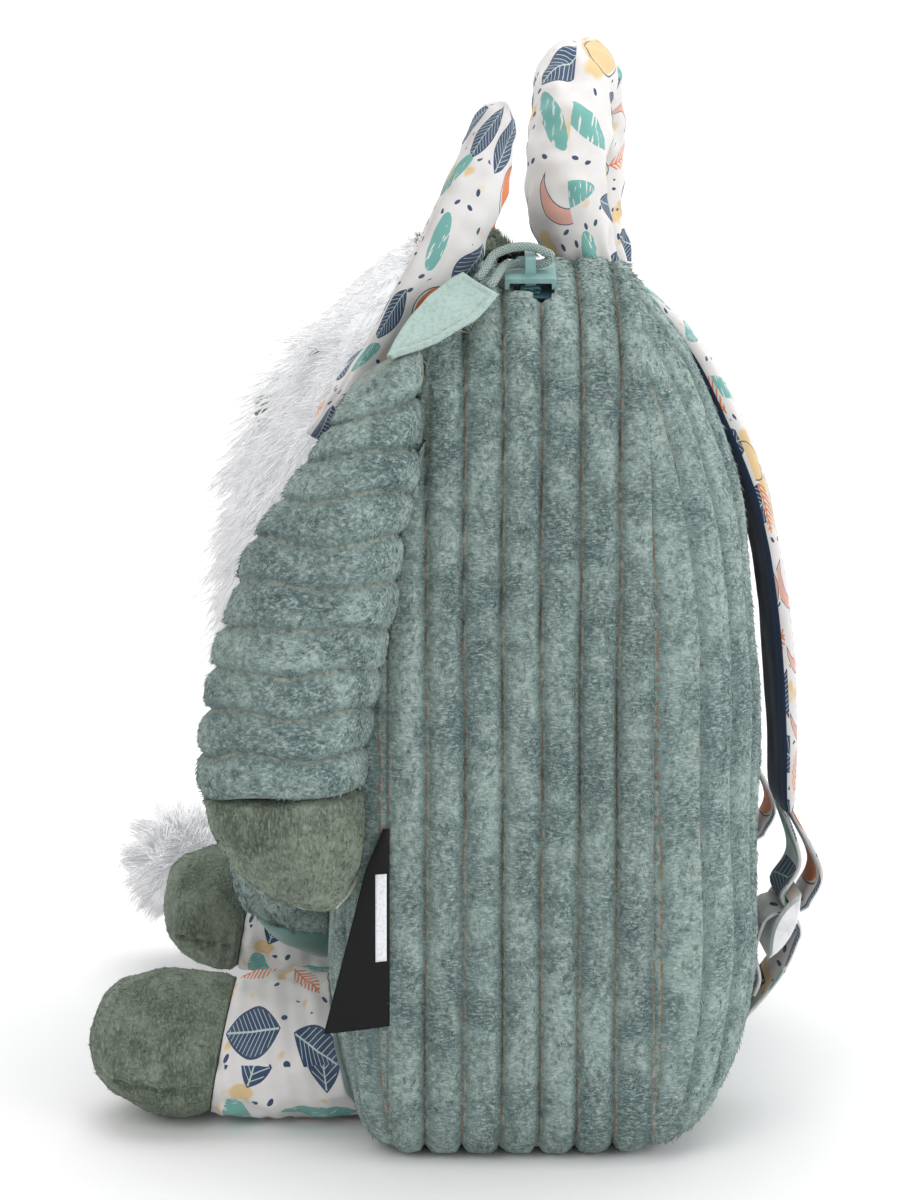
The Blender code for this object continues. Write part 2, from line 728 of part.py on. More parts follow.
# Turns of the webbing round the adjuster's bar and body, and how far above the slot's foot
BAR_TURN = ADJUSTER_THICKNESS * 0.70
BODY_TURN = ADJUSTER_THICKNESS * 0.97
WEBBING_LIFT = WEBBING_THICKNESS / 2 + 0.0013
LOOP_LIFT = WEBBING_LIFT + WEBBING_THICKNESS + CLEARANCE


def adjuster(name, side):
    """A lens-shaped plate with one slot through it."""
    half, bulge = ADJUSTER_LENGTH / 2, ADJUSTER_THICKNESS / 2
    profile = []
    for face in (1, -1):
        for i in range(8):
            along = face * half * (1 - 2 * i / 8)
            profile.append(adjuster_point(along, face * bulge * max(0.12, 1 - (along / half) ** 2)))
    rings = []
    for share in (-1.0, -0.9, 0.9, 1.0):
        squeeze = 0.82 if abs(share) == 1.0 else 1.0
        rings.append([Vector((side * STRAP_X + share * ADJUSTER_WIDTH / 2,
                              ADJUSTER_CENTRE.y + (y - ADJUSTER_CENTRE.y) * squeeze,
                              ADJUSTER_CENTRE.z + (z - ADJUSTER_CENTRE.z) * squeeze))
                      for y, z in profile])
    plate = loft("adjuster_" + name, rings, "white_plastic")
    reach = WEBBING_WIDTH / 2 + CLEARANCE
    corners = [adjuster_point(a, b) for a, b in ((SLOT_BOTTOM, -0.02), (SLOT_TOP, -0.02),
                                                 (SLOT_TOP, 0.02), (SLOT_BOTTOM, 0.02))]
    rings = [[Vector((side * STRAP_X + x, y, z)) for y, z in corners] for x in (-reach, reach)]
    combine(plate, loft("adjuster_slot_" + name, rings, None))
    return plate


def strap_loop(name, side):
    """Webbing from the padded strap's end, round the adjuster's top bar and back."""
    end_y, end_z = strap_points()[-1]
    end_z -= CLEARANCE
    centre = SLOT_BOTTOM + LOOP_LIFT + BAR_TURN
    half_gap = WEBBING_THICKNESS / 2 + 0.0001
    arc = [adjuster_point(centre - BAR_TURN * math.sin(t), -BAR_TURN * math.cos(t))
           for t in np.linspace(0.0, math.pi, 9)]
    first = [(end_y - half_gap, end_z), adjuster_point(centre + 0.0105, -BAR_TURN * 0.9)]
    last = [adjuster_point(centre + 0.0105, BAR_TURN * 0.75), (end_y + half_gap, end_z)]
    points = first + arc + last
    rings = facing_strip(points, WEBBING_WIDTH / 2, [WEBBING_THICKNESS] * len(points),
                         side * STRAP_X)
    return loft("strap_loop_" + name, rings, "print")


def webbing(name, side, cutters):
    """Webbing from the bottom of the back, over the adjuster's body and down inside it."""
    centre = SLOT_BOTTOM + WEBBING_LIFT - BODY_TURN
    arc = [adjuster_point(centre + BODY_TURN * math.sin(t), BODY_TURN * math.cos(t))
           for t in np.linspace(0.0, math.pi, 9)]
    root = [(BACK_CREST - 0.0130, 0.086 * BAG_HEIGHT), (BACK_CREST - 0.0020, 0.115 * BAG_HEIGHT)]
    outer = [adjuster_point(-0.0150, 0.0056)]
    inner = [adjuster_point(-0.0110, -0.0046), (BACK_CREST + 0.0035, 0.165 * BAG_HEIGHT),
             (BACK_CREST + 0.0018, 0.145 * BAG_HEIGHT)]
    points = root + outer + arc + inner
    rings = facing_strip(points, WEBBING_WIDTH / 2, [WEBBING_THICKNESS] * len(points),
                         side * STRAP_X)
    return keep_clear(loft("webbing_" + name, rings, "print"), cutters)


# The animal

HEAD_TURN = Matrix.Rotation(-HEAD_TILT, 4, "X")
HEAD_RADII = (HEAD_HALF_WIDTH, HEAD_HALF_DEPTH, HEAD_HALF_HEIGHT)


def head_surface(azimuth, height):
    """Place and outward direction on the head: azimuth from its front, height share up it."""
    flat = math.sqrt(1.0 - height ** 2)
    unit = Vector((flat * math.sin(azimuth), -flat * math.cos(azimuth), height))
    place = HEAD_CENTRE + HEAD_TURN @ Vector([u * r for u, r in zip(unit, HEAD_RADII)])
    out = HEAD_TURN @ Vector([u / r for u, r in zip(unit, HEAD_RADII)])
    return place, out.normalized()


def lock(bm, root, out, fall, length, radius):
    """A tapered, bent lock of fur with its root sunk in what it grows from."""
    run = (out + fall).normalized()
    right = run.cross(X_AXIS if abs(run.x) < 0.9 else Y_AXIS).normalized()
    up = run.cross(right)
    rows = []
    for share, size in ((-0.35, 0.8), (0.45, 1.0)):
        centre = root + run * (length * share) + fall * (0.25 * length * max(0.0, share) ** 2)
        rows.append([bm.verts.new(p) for p in oval(centre, right, up, radius * size,
                                                   radius * size, LOCK_SIDES)])
    tip = bm.verts.new(root + run * length + fall * (0.25 * length))
    low, high = rows
    bm.faces.new(low[::-1])
    for i in range(LOCK_SIDES):
        j = (i + 1) % LOCK_SIDES
        bm.faces.new((low[i], low[j], high[j], high[i]))
        bm.faces.new((high[i], high[j], tip))


def front_cutter():
    reach = BAG_WIDTH
    return box("head_front_cutter", (-reach, -reach, 0.0),
               (reach, HEAD_SPLIT_Y + CLEARANCE / 2, BAG_HEIGHT + reach))


def head(cutters):
    """The white face with its locks, and the olive back of the head that rests on the bag."""
    face = ball("head_face", HEAD_CENTRE, HEAD_RADII, "fur", HEAD_TURN, 18, 10)
    back = ball("head_back", HEAD_CENTRE, HEAD_RADII, "olive_plush", HEAD_TURN, 24, 14)
    bm = bmesh.new()
    # Height share, locks in the row, half spread in degrees, length share
    rows = ((0.78, 3, 34, 0.62), (0.50, 4, 38, 0.80), (0.14, 5, 46, 0.95),
            (-0.24, 6, 52, 1.10), (-0.60, 5, 50, 1.15))
    for k, (height, count, spread, size) in enumerate(rows):
        for i in range(count):
            azimuth = math.radians(spread) * (2 * i / (count - 1) - 1)
            root, out = head_surface(azimuth, height)
            fall = Vector((0.25 * math.sin(7.0 * i + k), -0.15, -1.35))
            lock(bm, root - out * LOCK_RADIUS * 0.25, out, fall, LOCK_LENGTH * size, LOCK_RADIUS)
    combine(face, to_object(bm, "head_locks", None), "UNION", use_self=True)
    reach = BAG_WIDTH
    rear = box("head_rear_cutter", (-reach, HEAD_SPLIT_Y - CLEARANCE / 2, 0.0),
               (reach, reach, BAG_HEIGHT + reach))
    combine(face, rear)
    combine(back, front_cutter())
    ears = [loft("ear_keep_clear_" + name, ear_rings(side, 2 * CLEARANCE), None)
            for name, side in (("near", 1), ("far", -1))]
    return keep_clear(face, cutters + ears), keep_clear(back, cutters)


def head_keep_clear():
    grown = [r + CLEARANCE for r in HEAD_RADII]
    return ball("head_keep_clear", HEAD_CENTRE, grown, None, HEAD_TURN, 24, 14)


# Eyes and nose: name, azimuth in degrees, height share, radii, look
FACE_DETAILS = (
    ("eye_near", 24.0, 0.30, (EYE_RADIUS, EYE_RADIUS, EYE_RADIUS), "black_plastic"),
    ("eye_far", -24.0, 0.30, (EYE_RADIUS, EYE_RADIUS, EYE_RADIUS), "black_plastic"),
    ("nose", 0.0, -0.02, (1.3 * NOSE_RADIUS, NOSE_RADIUS, NOSE_RADIUS), "olive_plush"),
)


def face_details(face):
    """Two eyes and a nose, plain domes half sunk in sockets in the fur."""
    for name, azimuth, height, radii, look in FACE_DETAILS:
        root, out = head_surface(math.radians(azimuth), height)
        centre = root + out * FACE_STANDOFF
        ball(name, centre, radii, look, None, 8, 6)
        combine(face, ball(name + "_socket", centre, [r + CLEARANCE for r in radii], None,
                           None, 8, 6))


def ear_rings(side, grow=0.0):
    """A stuffed petal, cupped across and bowed along, standing up from the head's side."""
    root, tip = mirrored(EAR_ROOT, side), mirrored(EAR_TIP, side)
    along = (tip - root).normalized()
    rear = (Y_AXIS - along * along.dot(Y_AXIS)).normalized()
    right = along.cross(rear)
    # Share of the length, half width share, thickness share
    petal = ((0.00, 0.30, 0.62), (0.10, 0.52, 0.90), (0.25, 0.82, 1.00), (0.45, 1.00, 1.00),
             (0.62, 0.98, 0.95), (0.78, 0.82, 0.85), (0.90, 0.56, 0.70), (0.97, 0.28, 0.45))
    rings = []
    for share, wide, thick in petal:
        bow = EAR_BOW * math.sin(math.pi * share)
        past = 0.0 if share else -2 * grow
        centre = root + along * (EAR_LENGTH * share + past) + rear * bow
        half = EAR_WIDTH / 2 * wide + grow
        ring = []
        for point in oval(Vector((0, 0, 0)), X_AXIS, Y_AXIS, half,
                          EAR_THICKNESS / 2 * thick + grow, 10):
            cup = EAR_CUP * wide * (point.x / (EAR_WIDTH / 2)) ** 2
            ring.append(centre + right * point.x + rear * (point.y - cup))
        rings.append(ring)
    return rings


def ear(name, side, cutters):
    return keep_clear(loft("ear_" + name, ear_rings(side), "print"), cutters)


# Down the arm: share of its length, forward share of the sweep, width share
ARM_LINE = (
    (0.00, -1.00, 0.40), (0.10, -0.88, 0.56), (0.20, -0.72, 0.74), (0.33, -0.46, 0.91),
    (0.46, -0.26, 1.00), (0.60, -0.10, 1.00), (0.72, -0.02, 0.99), (0.78, 0.00, 0.98),
    (0.855, -0.05, 0.93), (0.93, -0.15, 0.76), (0.98, -0.26, 0.46), (1.00, -0.36, 0.16),
)


def arm_section(side, share, relief):
    rows = list(zip(*ARM_LINE))
    sweep = float(np.interp(share, rows[0], rows[1]))
    wide = float(np.interp(share, rows[0], rows[2]))
    centre = Vector((side * ARM_X, ARM_CENTRE_Y - sweep * ARM_SWEEP,
                     ARM_TOP - ARM_LENGTH * share))
    return oval(centre, X_AXIS, Y_AXIS, max(0.001, ARM_THICKNESS / 2 * wide ** 0.7 - relief),
                max(0.001, ARM_WIDTH / 2 * wide - relief), 10)


def arm(name, side, cutters):
    """A ribbed sleeve with ribs round it, and a smooth paw below its cuff."""
    rings = []
    for i in range(2 * SLEEVE_RIBS + 1):
        share = CUFF_SHARE * i / (2 * SLEEVE_RIBS)
        rings.append(arm_section(side, share, 0.8 * RIB_RELIEF if i % 2 == 0 else 0.0))
    keep_clear(loft("sleeve_" + name, rings, "plush"), cutters)
    start = CUFF_SHARE + CLEARANCE / ARM_LENGTH
    rings = [arm_section(side, share, 0.0012)
             for share in (start, 0.82, 0.86, 0.90, 0.935, 0.965, 0.988, 1.0)]
    keep_clear(loft("paw_" + name, rings, "olive_plush"), cutters)


def leg(name, side, lift, pull, cutters):
    """A printed leg lying forward from the bag, and a plush foot with a rounded tip."""
    half = LEG_DIAMETER / 2

    def section(share_y, z, wide, tall):
        return oval(Vector((side * LEG_X, share_y, z)), X_AXIS, Z_AXIS, half * wide, half * tall,
                    12, 2.2)

    cuff = LEG_CUFF_Y - 0.25 * pull
    tip = FOOT_TIP_Y + pull
    shin = ((0.0, 0.92), (0.25, 0.97), (0.6, 0.98), (1.0, 0.96))
    rings = []
    for share, size in shin:
        y = LEG_ROOT_Y + (cuff - LEG_ROOT_Y) * share
        rings.append(section(y, half + lift * (0.8 + 0.2 * share), size, size))
    keep_clear(loft("leg_" + name, rings, "print"), cutters)
    # Share of the foot, its width and height, and how much its middle rises
    foot = ((0.0, 0.98, 0.96, 0.0), (0.25, 1.06, 1.00, 0.0), (0.55, 1.04, 0.99, 0.01),
            (0.78, 0.90, 0.86, 0.03), (0.92, 0.62, 0.62, 0.05), (1.0, 0.22, 0.24, 0.06))
    rings = []
    for share, wide, tall, rise in foot:
        y = cuff - CLEARANCE + (tip - cuff) * share
        rings.append(section(y, half + lift + rise * half, wide, tall))
    keep_clear(loft("foot_" + name, rings, "olive_plush"), cutters)


def leg_keep_clear(name, side, lift):
    half = LEG_DIAMETER / 2 + 2 * CLEARANCE
    rings = [oval(Vector((side * LEG_X, y, LEG_DIAMETER / 2 + lift)), X_AXIS, Z_AXIS, half, half,
                  12, 2.2) for y in (FOOT_TIP_Y, 0.0)]
    return loft("leg_keep_clear_" + name, rings, None)


def belly(cutters):
    """A ribbed plush belly over a smooth base, both against the front panel."""
    radii = (BELLY_HALF_WIDTH, BELLY_HALF_DEPTH, BELLY_HALF_HEIGHT)
    rings = []
    steps = 2 * BELLY_RIBS
    for i in range(steps + 1):
        x = BELLY_HALF_WIDTH * math.cos(math.pi * (0.03 + 0.94 * i / steps))
        size = math.sqrt(1.0 - (x / BELLY_HALF_WIDTH) ** 2)
        relief = 0.6 * RIB_RELIEF if i % 2 == 0 else 0.0
        rings.append(oval(Vector((x, BELLY_CENTRE.y, BELLY_CENTRE.z)), Y_AXIS, Z_AXIS,
                          BELLY_HALF_DEPTH * size - relief, BELLY_HALF_HEIGHT * size - relief, 8))
    front = loft("belly", rings, "plush")
    base = ball("belly_base", BELLY_CENTRE, [r * 0.96 for r in radii], "smooth_teal", None, 14, 12)
    reach = BAG_WIDTH
    low = box("belly_low_cutter", (-reach, -reach, -reach), (reach, reach, BELLY_SPLIT_Z))
    high = box("belly_high_cutter", (-reach, -reach, BELLY_SPLIT_Z - CLEARANCE),
               (reach, reach, BAG_HEIGHT))
    combine(front, low)
    combine(base, high)
    return keep_clear(front, cutters), keep_clear(base, cutters)


def tail(cutters):
    """A plain tail round the far side, ending in a round tuft with short locks."""
    start = Vector((-HALF_WIDTH, TAIL_ROOT_Y, TAIL_ROOT_Z))
    knots = [start + Vector(step) for step in
             ((0.0080, 0.0, 0.0), (-0.0080, -0.0060, 0.0), (-0.0155, -0.0280, -0.0020),
              (-0.0145, -0.0550, -0.0040))]
    inward = (knots[-1] - TUFT_CENTRE).normalized()
    knots.append(TUFT_CENTRE + inward * (TUFT_RADIUS * 0.5))
    body = as_mesh(tube("tail", smooth_path(knots, 11), TAIL_DIAMETER, "plush", 2))
    tuft = ball("tail_tuft", TUFT_CENTRE, (TUFT_RADIUS,) * 3, "fur", None, 12, 8)
    bm = bmesh.new()
    count = 20
    for i in range(count):
        height = 0.92 - 1.84 * i / (count - 1)
        turn = i * math.pi * (3.0 - math.sqrt(5.0))
        flat = math.sqrt(1.0 - height ** 2)
        out = Vector((flat * math.cos(turn), flat * math.sin(turn), height))
        if out.dot(inward) > 0.3:
            continue
        lock(bm, TUFT_CENTRE + out * TUFT_RADIUS * 0.85, out, Vector((0, 0, -0.15)),
             TUFT_LOCK * 0.6, TUFT_RADIUS * 0.38)
    combine(tuft, to_object(bm, "tuft_locks", None), "UNION", use_self=True)
    combine(body, ball("tuft_keep_clear", TUFT_CENTRE, (TUFT_RADIUS + CLEARANCE,) * 3, None,
                       None, 12, 8))
    return keep_clear(body, cutters), tuft


def label_tab():
    """A blank folded tab sewn into the near front seam."""
    x = HALF_WIDTH - RIB_RELIEF + CLEARANCE
    corners = []
    # Drop share and how far forward of the seam, in shares of the tab's width
    for drop, forward in ((0.00, 0.06), (0.19, 0.36), (1.00, 1.04), (0.95, 0.00), (0.30, -0.04)):
        z = LABEL_TOP_Z - LABEL_DROP * drop
        corners.append((seam_y("front", z) + 0.0012 - LABEL_WIDTH * forward, z))
    rings = [[Vector((x + step, y, z)) for y, z in corners] for step in (0.0, LABEL_THICKNESS)]
    return loft("label_tab", rings, "black_satin")


# Assembly

side_band()
panel("back", BACK_DEPTH, 3, 8)
panel("front", FRONT_DEPTH, 2, 6)
zip_chain()
zip_slider()
pull_tab()
pull_cord()
bag = bag_cutters()
handle(bag)
fur, crown = head(bag)
face_details(fur)
belly_cutters = bag + [leg_keep_clear("near", 1, 0.0), leg_keep_clear("far", -1, FAR_LEG_LIFT)]
belly(belly_cutters)
ear_cutters = bag + [head_keep_clear()]
for word, hand in (("near", 1), ("far", -1)):
    ear(word, hand, ear_cutters)
    arm(word, hand, bag)
    strap(word, hand, bag)
    strap_loop(word, hand)
    webbing(word, hand, bag)
    adjuster(word, hand)
leg("near", 1, 0.0, 0.0, bag)
leg("far", -1, FAR_LEG_LIFT, FAR_LEG_PULL, bag)
tail(bag)
label_tab()
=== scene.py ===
"""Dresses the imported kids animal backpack: plush, printed cotton, fur, zip, straps and stage.

Metres, +Z up. The animal faces -Y, the straps are on +Y, and the camera looks along -X.
"""

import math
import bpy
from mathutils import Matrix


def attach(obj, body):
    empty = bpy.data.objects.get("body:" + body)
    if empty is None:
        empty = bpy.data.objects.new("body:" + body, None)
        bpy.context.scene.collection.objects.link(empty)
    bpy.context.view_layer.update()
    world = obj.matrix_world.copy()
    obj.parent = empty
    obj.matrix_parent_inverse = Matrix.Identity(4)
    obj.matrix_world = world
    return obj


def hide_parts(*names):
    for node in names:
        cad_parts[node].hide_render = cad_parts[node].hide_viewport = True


bl_info = {
    "name": "Kids animal backpack",
    "version": (1, 0, 0),
    "blender": (4, 5, 0),
    "location": "View3D > Sidebar > Backpack",
    "description": "Builds the cloth, fur and trim of a kids animal backpack round its solids",
    "category": "Object",
}

import bmesh
import bpy
import numpy as np
from bpy.props import FloatProperty, FloatVectorProperty, IntProperty, PointerProperty
from mathutils import Matrix, Vector

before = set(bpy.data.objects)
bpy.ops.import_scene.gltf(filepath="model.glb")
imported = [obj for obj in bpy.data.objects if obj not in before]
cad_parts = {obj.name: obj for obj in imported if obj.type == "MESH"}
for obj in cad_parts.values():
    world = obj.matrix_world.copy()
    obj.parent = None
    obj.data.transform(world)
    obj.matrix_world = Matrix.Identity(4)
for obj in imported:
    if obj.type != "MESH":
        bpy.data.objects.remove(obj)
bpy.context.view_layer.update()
TAU = 2.0 * math.pi
X_AXIS = np.array((1.0, 0.0, 0.0))
Y_AXIS = np.array((0.0, 1.0, 0.0))
Z_AXIS = np.array((0.0, 0.0, 1.0))
SIDES = (("near", 1.0), ("far", -1.0))


def linear(red, green, blue):
    """A screen colour from 0 to 255 as the linear values that a shader takes."""
    shares = np.array((red, green, blue)) / 255.0
    return tuple(float(v) for v in np.where(shares <= 0.04045, shares / 12.92,
                                            ((shares + 0.055) / 1.055) ** 2.4))


def length_setting(name, default, description):
    return FloatProperty(name=name, default=default, description=description, unit="LENGTH",
                         subtype="DISTANCE", min=0.0, precision=4)


def colour_setting(name, red, green, blue, description):
    return FloatVectorProperty(name=name, default=linear(red, green, blue), size=3, min=0.0,
                               max=1.0, subtype="COLOR", description=description)


class BagSettings(bpy.types.PropertyGroup):
    """Sizes of the bag's shell and of its ribbed plush."""

    width: length_setting("Width", 0.200, "Width of the bag across")
    height: length_setting("Height", 0.262, "Height of the bag to its top")
    rise: length_setting("Shoulder rise", 0.062, "Height of the arched top above the straight sides")
    foot_radius: length_setting("Foot radius", 0.014, "Radius of the two lower corners")
    rib_pitch: length_setting("Rib pitch", 0.0108, "Width of one plush rib")
    rib_relief: length_setting("Rib relief", 0.0036, "Depth of the groove between two ribs")
    wall: length_setting("Wall", 0.0026, "Thickness of the quilted plush wall")
    back_depth: length_setting("Back depth", 0.0305, "How far the back panel domes out")
    front_depth: length_setting("Front depth", 0.0150, "How far the front panel domes out")


class CoatSettings(bpy.types.PropertyGroup):
    """Sizes and counts of the white fur and of the plush pile."""

    hair_length: length_setting("Hair length", 0.0250, "Length of the long white hairs")
    hair_width: length_setting("Hair width", 0.00034, "Width of one lock of hairs at its root")
    hair_count: IntProperty(name="Hairs", default=10500, min=100, max=12400,
                            description="Number of modelled hairs on the face")
    pile_bump: length_setting("Pile depth", 0.0007, "Depth of the plush pile in the surface")


class ColourSettings(bpy.types.PropertyGroup):
    """Colours of the cloths and mouldings."""

    plush: colour_setting("Plush", 140, 159, 154, "Ribbed plush, mid tone")
    # plush_dark is both the crushed pile's tone and the painted shade on the ribs' flanks
    plush_dark: colour_setting("Plush shade", 82, 104, 103, "Ribbed plush where the pile is crushed")
    plush_light: colour_setting("Plush light", 186, 198, 194, "Ribbed plush where the pile stands")
    ground: colour_setting("Ground cloth", 168, 166, 152, "Smooth strip between two ribs")
    thread: colour_setting("Ground thread", 124, 103, 84, "Thread that shows between two ribs")
    olive: colour_setting("Olive plush", 124, 133, 120, "Smooth plush of paws and feet")
    olive_dark: colour_setting("Olive shade", 84, 93, 83, "Crushed smooth plush")
    fur: colour_setting("Fur", 248, 248, 250, "Long white fur")
    print_ground: colour_setting("Print ground", 240, 237, 235, "White of the printed cotton")
    print_navy: colour_setting("Print navy", 62, 80, 112, "Navy of the print")
    print_teal: colour_setting("Print teal", 122, 186, 178, "Teal of the print")
    print_orange: colour_setting("Print orange", 236, 142, 92, "Orange of the print")
    print_pink: colour_setting("Print pink", 236, 182, 166, "Pink of the print")
    print_cream: colour_setting("Print cream", 238, 208, 156, "Cream of the print")
    mint: colour_setting("Mint cotton", 168, 190, 184, "Cotton of the pull tab and the cord")
    moulding: colour_setting("Teal moulding", 130, 170, 168, "Zip slider")
    tape: colour_setting("Zip tape", 60, 98, 110, "Zip tape and coil")


# Numpy surfaces

def unit(vectors):
    """Vectors divided by their lengths."""
    return vectors / np.maximum(np.linalg.norm(vectors, axis=-1, keepdims=True), 1e-12)


def ripple(points, wavelength, seed, waves=14):
    """Sum of plane sine waves in fixed scattered directions, close to -1 to 1."""
    rng = np.random.default_rng(seed)
    turns = unit(rng.normal(size=(waves, 3))) * (TAU / wavelength)
    turns *= rng.uniform(0.7, 1.4, (waves, 1))
    return np.sin(points @ turns.T + rng.uniform(0.0, TAU, waves)).sum(axis=-1) / math.sqrt(waves)


def flowing(knots, count):
    """count points, evenly spaced by knot number, on a Catmull-Rom curve through the knots."""
    knots = np.asarray(knots, dtype=float)
    padded = np.vstack((2 * knots[0] - knots[1], knots, 2 * knots[-1] - knots[-2]))
    place = np.linspace(0.0, len(knots) - 1.0, count)
    k = np.minimum(place.astype(int), len(knots) - 2)
    t = (place - k)[:, None]
    a, b, c, d = (padded[k + i] for i in range(4))
    return 0.5 * (2 * b + (c - a) * t + (2 * a - 5 * b + 4 * c - d) * t ** 2
                  + (3 * b - a - 3 * c + d) * t ** 3)


def run_length(points):
    """Length along a polyline up to each of its points."""
    return np.concatenate(([0.0], np.cumsum(np.linalg.norm(np.diff(points, axis=0), axis=-1))))


def evenly(points, count):
    """The polyline's points again, count of them at equal steps of its length."""
    run = run_length(points)
    steps = np.linspace(0.0, run[-1], count)
    return np.stack([np.interp(steps, run, points[:, i]) for i in range(points.shape[1])], axis=-1)


def smoothed(values, width):
    """A running mean over an odd number of values, with the end values held."""
    return np.convolve(np.pad(values, width // 2, mode="edge"), np.ones(width) / width, "valid")


def turn_steps(count):
    """Equal steps of one full turn."""
    return TAU * np.arange(count) / count


def bent(values, power):
    """Values raised to a power with their signs kept, which makes a ring squarer or rounder."""
    return np.sign(values) * np.abs(values) ** power


def dented(points, centre, depth, wavelength, seed):
    """Points moved toward or away from a centre by slow waves."""
    return points + depth * unit(points - centre) * ripple(points, wavelength, seed)[..., None]


def spiral_directions(count):
    """Directions spread evenly over a ball: equal steps of height, each a golden angle on."""
    height = 1.0 - 2.0 * (np.arange(count) + 0.5) / count
    turn = np.arange(count) * math.pi * (3.0 - math.sqrt(5.0))
    flat = np.sqrt(1.0 - height ** 2)
    return np.stack((flat * np.cos(turn), flat * np.sin(turn), height), axis=-1)


def carried(path, across, half_across, half_out, sides, power=2.0, phase=0.0):
    """A superellipse carried along a path.

    Ring point = centre + side * a * |cos|^(2/p) + out * b * |sin|^(2/p), where out stands square
    to the path and to the side direction, which is across made square to the path.
    """
    along = unit(np.gradient(path, axis=0))
    side = unit(across - along * (along * across).sum(axis=-1, keepdims=True))
    out = np.cross(along, side)
    turn = TAU * (np.arange(sides) / sides) + phase
    c, s = bent(np.cos(turn), 2.0 / power), bent(np.sin(turn), 2.0 / power)
    half_across = np.broadcast_to(half_across, len(path))[:, None, None]
    half_out = np.broadcast_to(half_out, len(path))[:, None, None]
    return (path[:, None] + side[:, None] * half_across * c[None, :, None]
            + out[:, None] * half_out * s[None, :, None])


def point_places(mesh):
    """The places of a mesh's points, one row each."""
    places = np.empty(len(mesh.vertices) * 3)
    mesh.vertices.foreach_get("co", places)
    return places.reshape(-1, 3)


def move_points(mesh, places):
    """Puts a mesh's points at new places."""
    mesh.vertices.foreach_set("co", places.ravel())
    mesh.update()


def face_rows(mesh, word):
    """The centers or the normals of a mesh's faces, one row each."""
    rows = np.empty(len(mesh.polygons) * 3)
    mesh.polygons.foreach_get(word, rows)
    return rows.reshape(-1, 3)


def sheet_mesh(name, points, cloth=None, wrap=False, ends=False, ribs=None, keep=None,
               look=None, centre=None, smooth=True):
    """A grid of points as a mesh of quads, with its cloth lengths as UVs in metres.

    cloth is the lengths down and across, or down and the two sides of each column of quads.

    wrap joins the last column to the first, ends closes the first and last rows, keep is a mask
    of quads, and ribs is an attribute that is a whole number where two ribs meet.
    """
    rows, columns = points.shape[:2]
    index = np.arange(rows * columns).reshape(rows, columns)
    reach = columns if wrap else columns - 1
    i, j = np.meshgrid(np.arange(rows - 1), np.arange(reach), indexing="ij")
    if keep is not None:
        i, j = i[keep], j[keep]
    i, j = i.ravel(), j.ravel()
    nxt = (j + 1) % columns
    quads = np.stack((index[i, j], index[i + 1, j], index[i + 1, nxt], index[i, nxt]), axis=-1)
    faces = quads.tolist()
    if ends:
        faces += [index[0].tolist(), index[-1][::-1].tolist()]
    mesh = bpy.data.meshes.new(name)
    mesh.from_pydata(points.reshape(-1, 3).tolist(), [], faces)
    if cloth is None:
        middle = points.mean(axis=1)
        down = run_length(middle)
        girth = np.linalg.norm(np.diff(np.concatenate((points, points[:, :1]), axis=1), axis=1),
                               axis=-1).mean(axis=0)
        cross = np.concatenate(([0.0], np.cumsum(girth)))
    else:
        down, cross = cloth
    first, second = (cross[0][j], cross[1][j]) if np.ndim(cross) == 2 else (cross[j], cross[j + 1])
    uv = np.stack((np.stack((first, down[i]), -1), np.stack((first, down[i + 1]), -1),
                   np.stack((second, down[i + 1]), -1), np.stack((second, down[i]), -1)),
                  axis=1).reshape(-1, 2)
    if ends:
        uv = np.concatenate((uv, np.zeros((2 * columns, 2))))
    layer = mesh.uv_layers.new(name="cloth")
    layer.data.foreach_set("uv", uv.astype(np.float32).ravel())
    if ribs is not None:
        mark = mesh.attributes.new("ribs", "FLOAT", "POINT")
        mark.data.foreach_set("value", np.asarray(ribs, dtype=np.float32).ravel())
    mesh.update()
    centre = points.reshape(-1, 3).mean(axis=0) if centre is None else np.asarray(centre)
    if ((face_rows(mesh, "center") - centre) * face_rows(mesh, "normal")).sum() < 0.0:
        mesh.flip_normals()
    made = bpy.data.objects.new(name, mesh)
    bpy.context.scene.collection.objects.link(made)
    if smooth:
        mesh.shade_smooth()
    if look is not None:
        mesh.materials.append(look)
    return made


def thicken(piece, wall):
    """Gives an open sheet a wall on its inner side, with its rims closed."""
    step = piece.modifiers.new("wall", "SOLIDIFY")
    step.thickness = wall
    step.offset = -1.0
    return piece


def place_piece(piece, slot, *nodes, fill=None):
    """Rides the piece on the row's one body, in place of its solids."""
    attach(piece, "root")
    if nodes:
        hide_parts(*nodes)
    return piece


def refinish(node, material):
    """Gives a solid that stays as it is its own material."""
    mesh = bpy.data.objects[node].data
    mesh.materials.clear()
    mesh.materials.append(material)


def fix_outward(piece):
    """Turns a closed form's faces outward."""
    work = bmesh.new()
    work.from_mesh(piece.data)
    bmesh.ops.recalc_face_normals(work, faces=work.faces)
    work.to_mesh(piece.data)
    work.free()
    return piece


def closed_form(name, rings, material, cloth=None, ribs=None):
    """A closed form from rings of points, with small caps at its first and last ring."""
    made = sheet_mesh(name, rings, cloth, wrap=True, ends=True, ribs=ribs, look=material)
    return fix_outward(made)


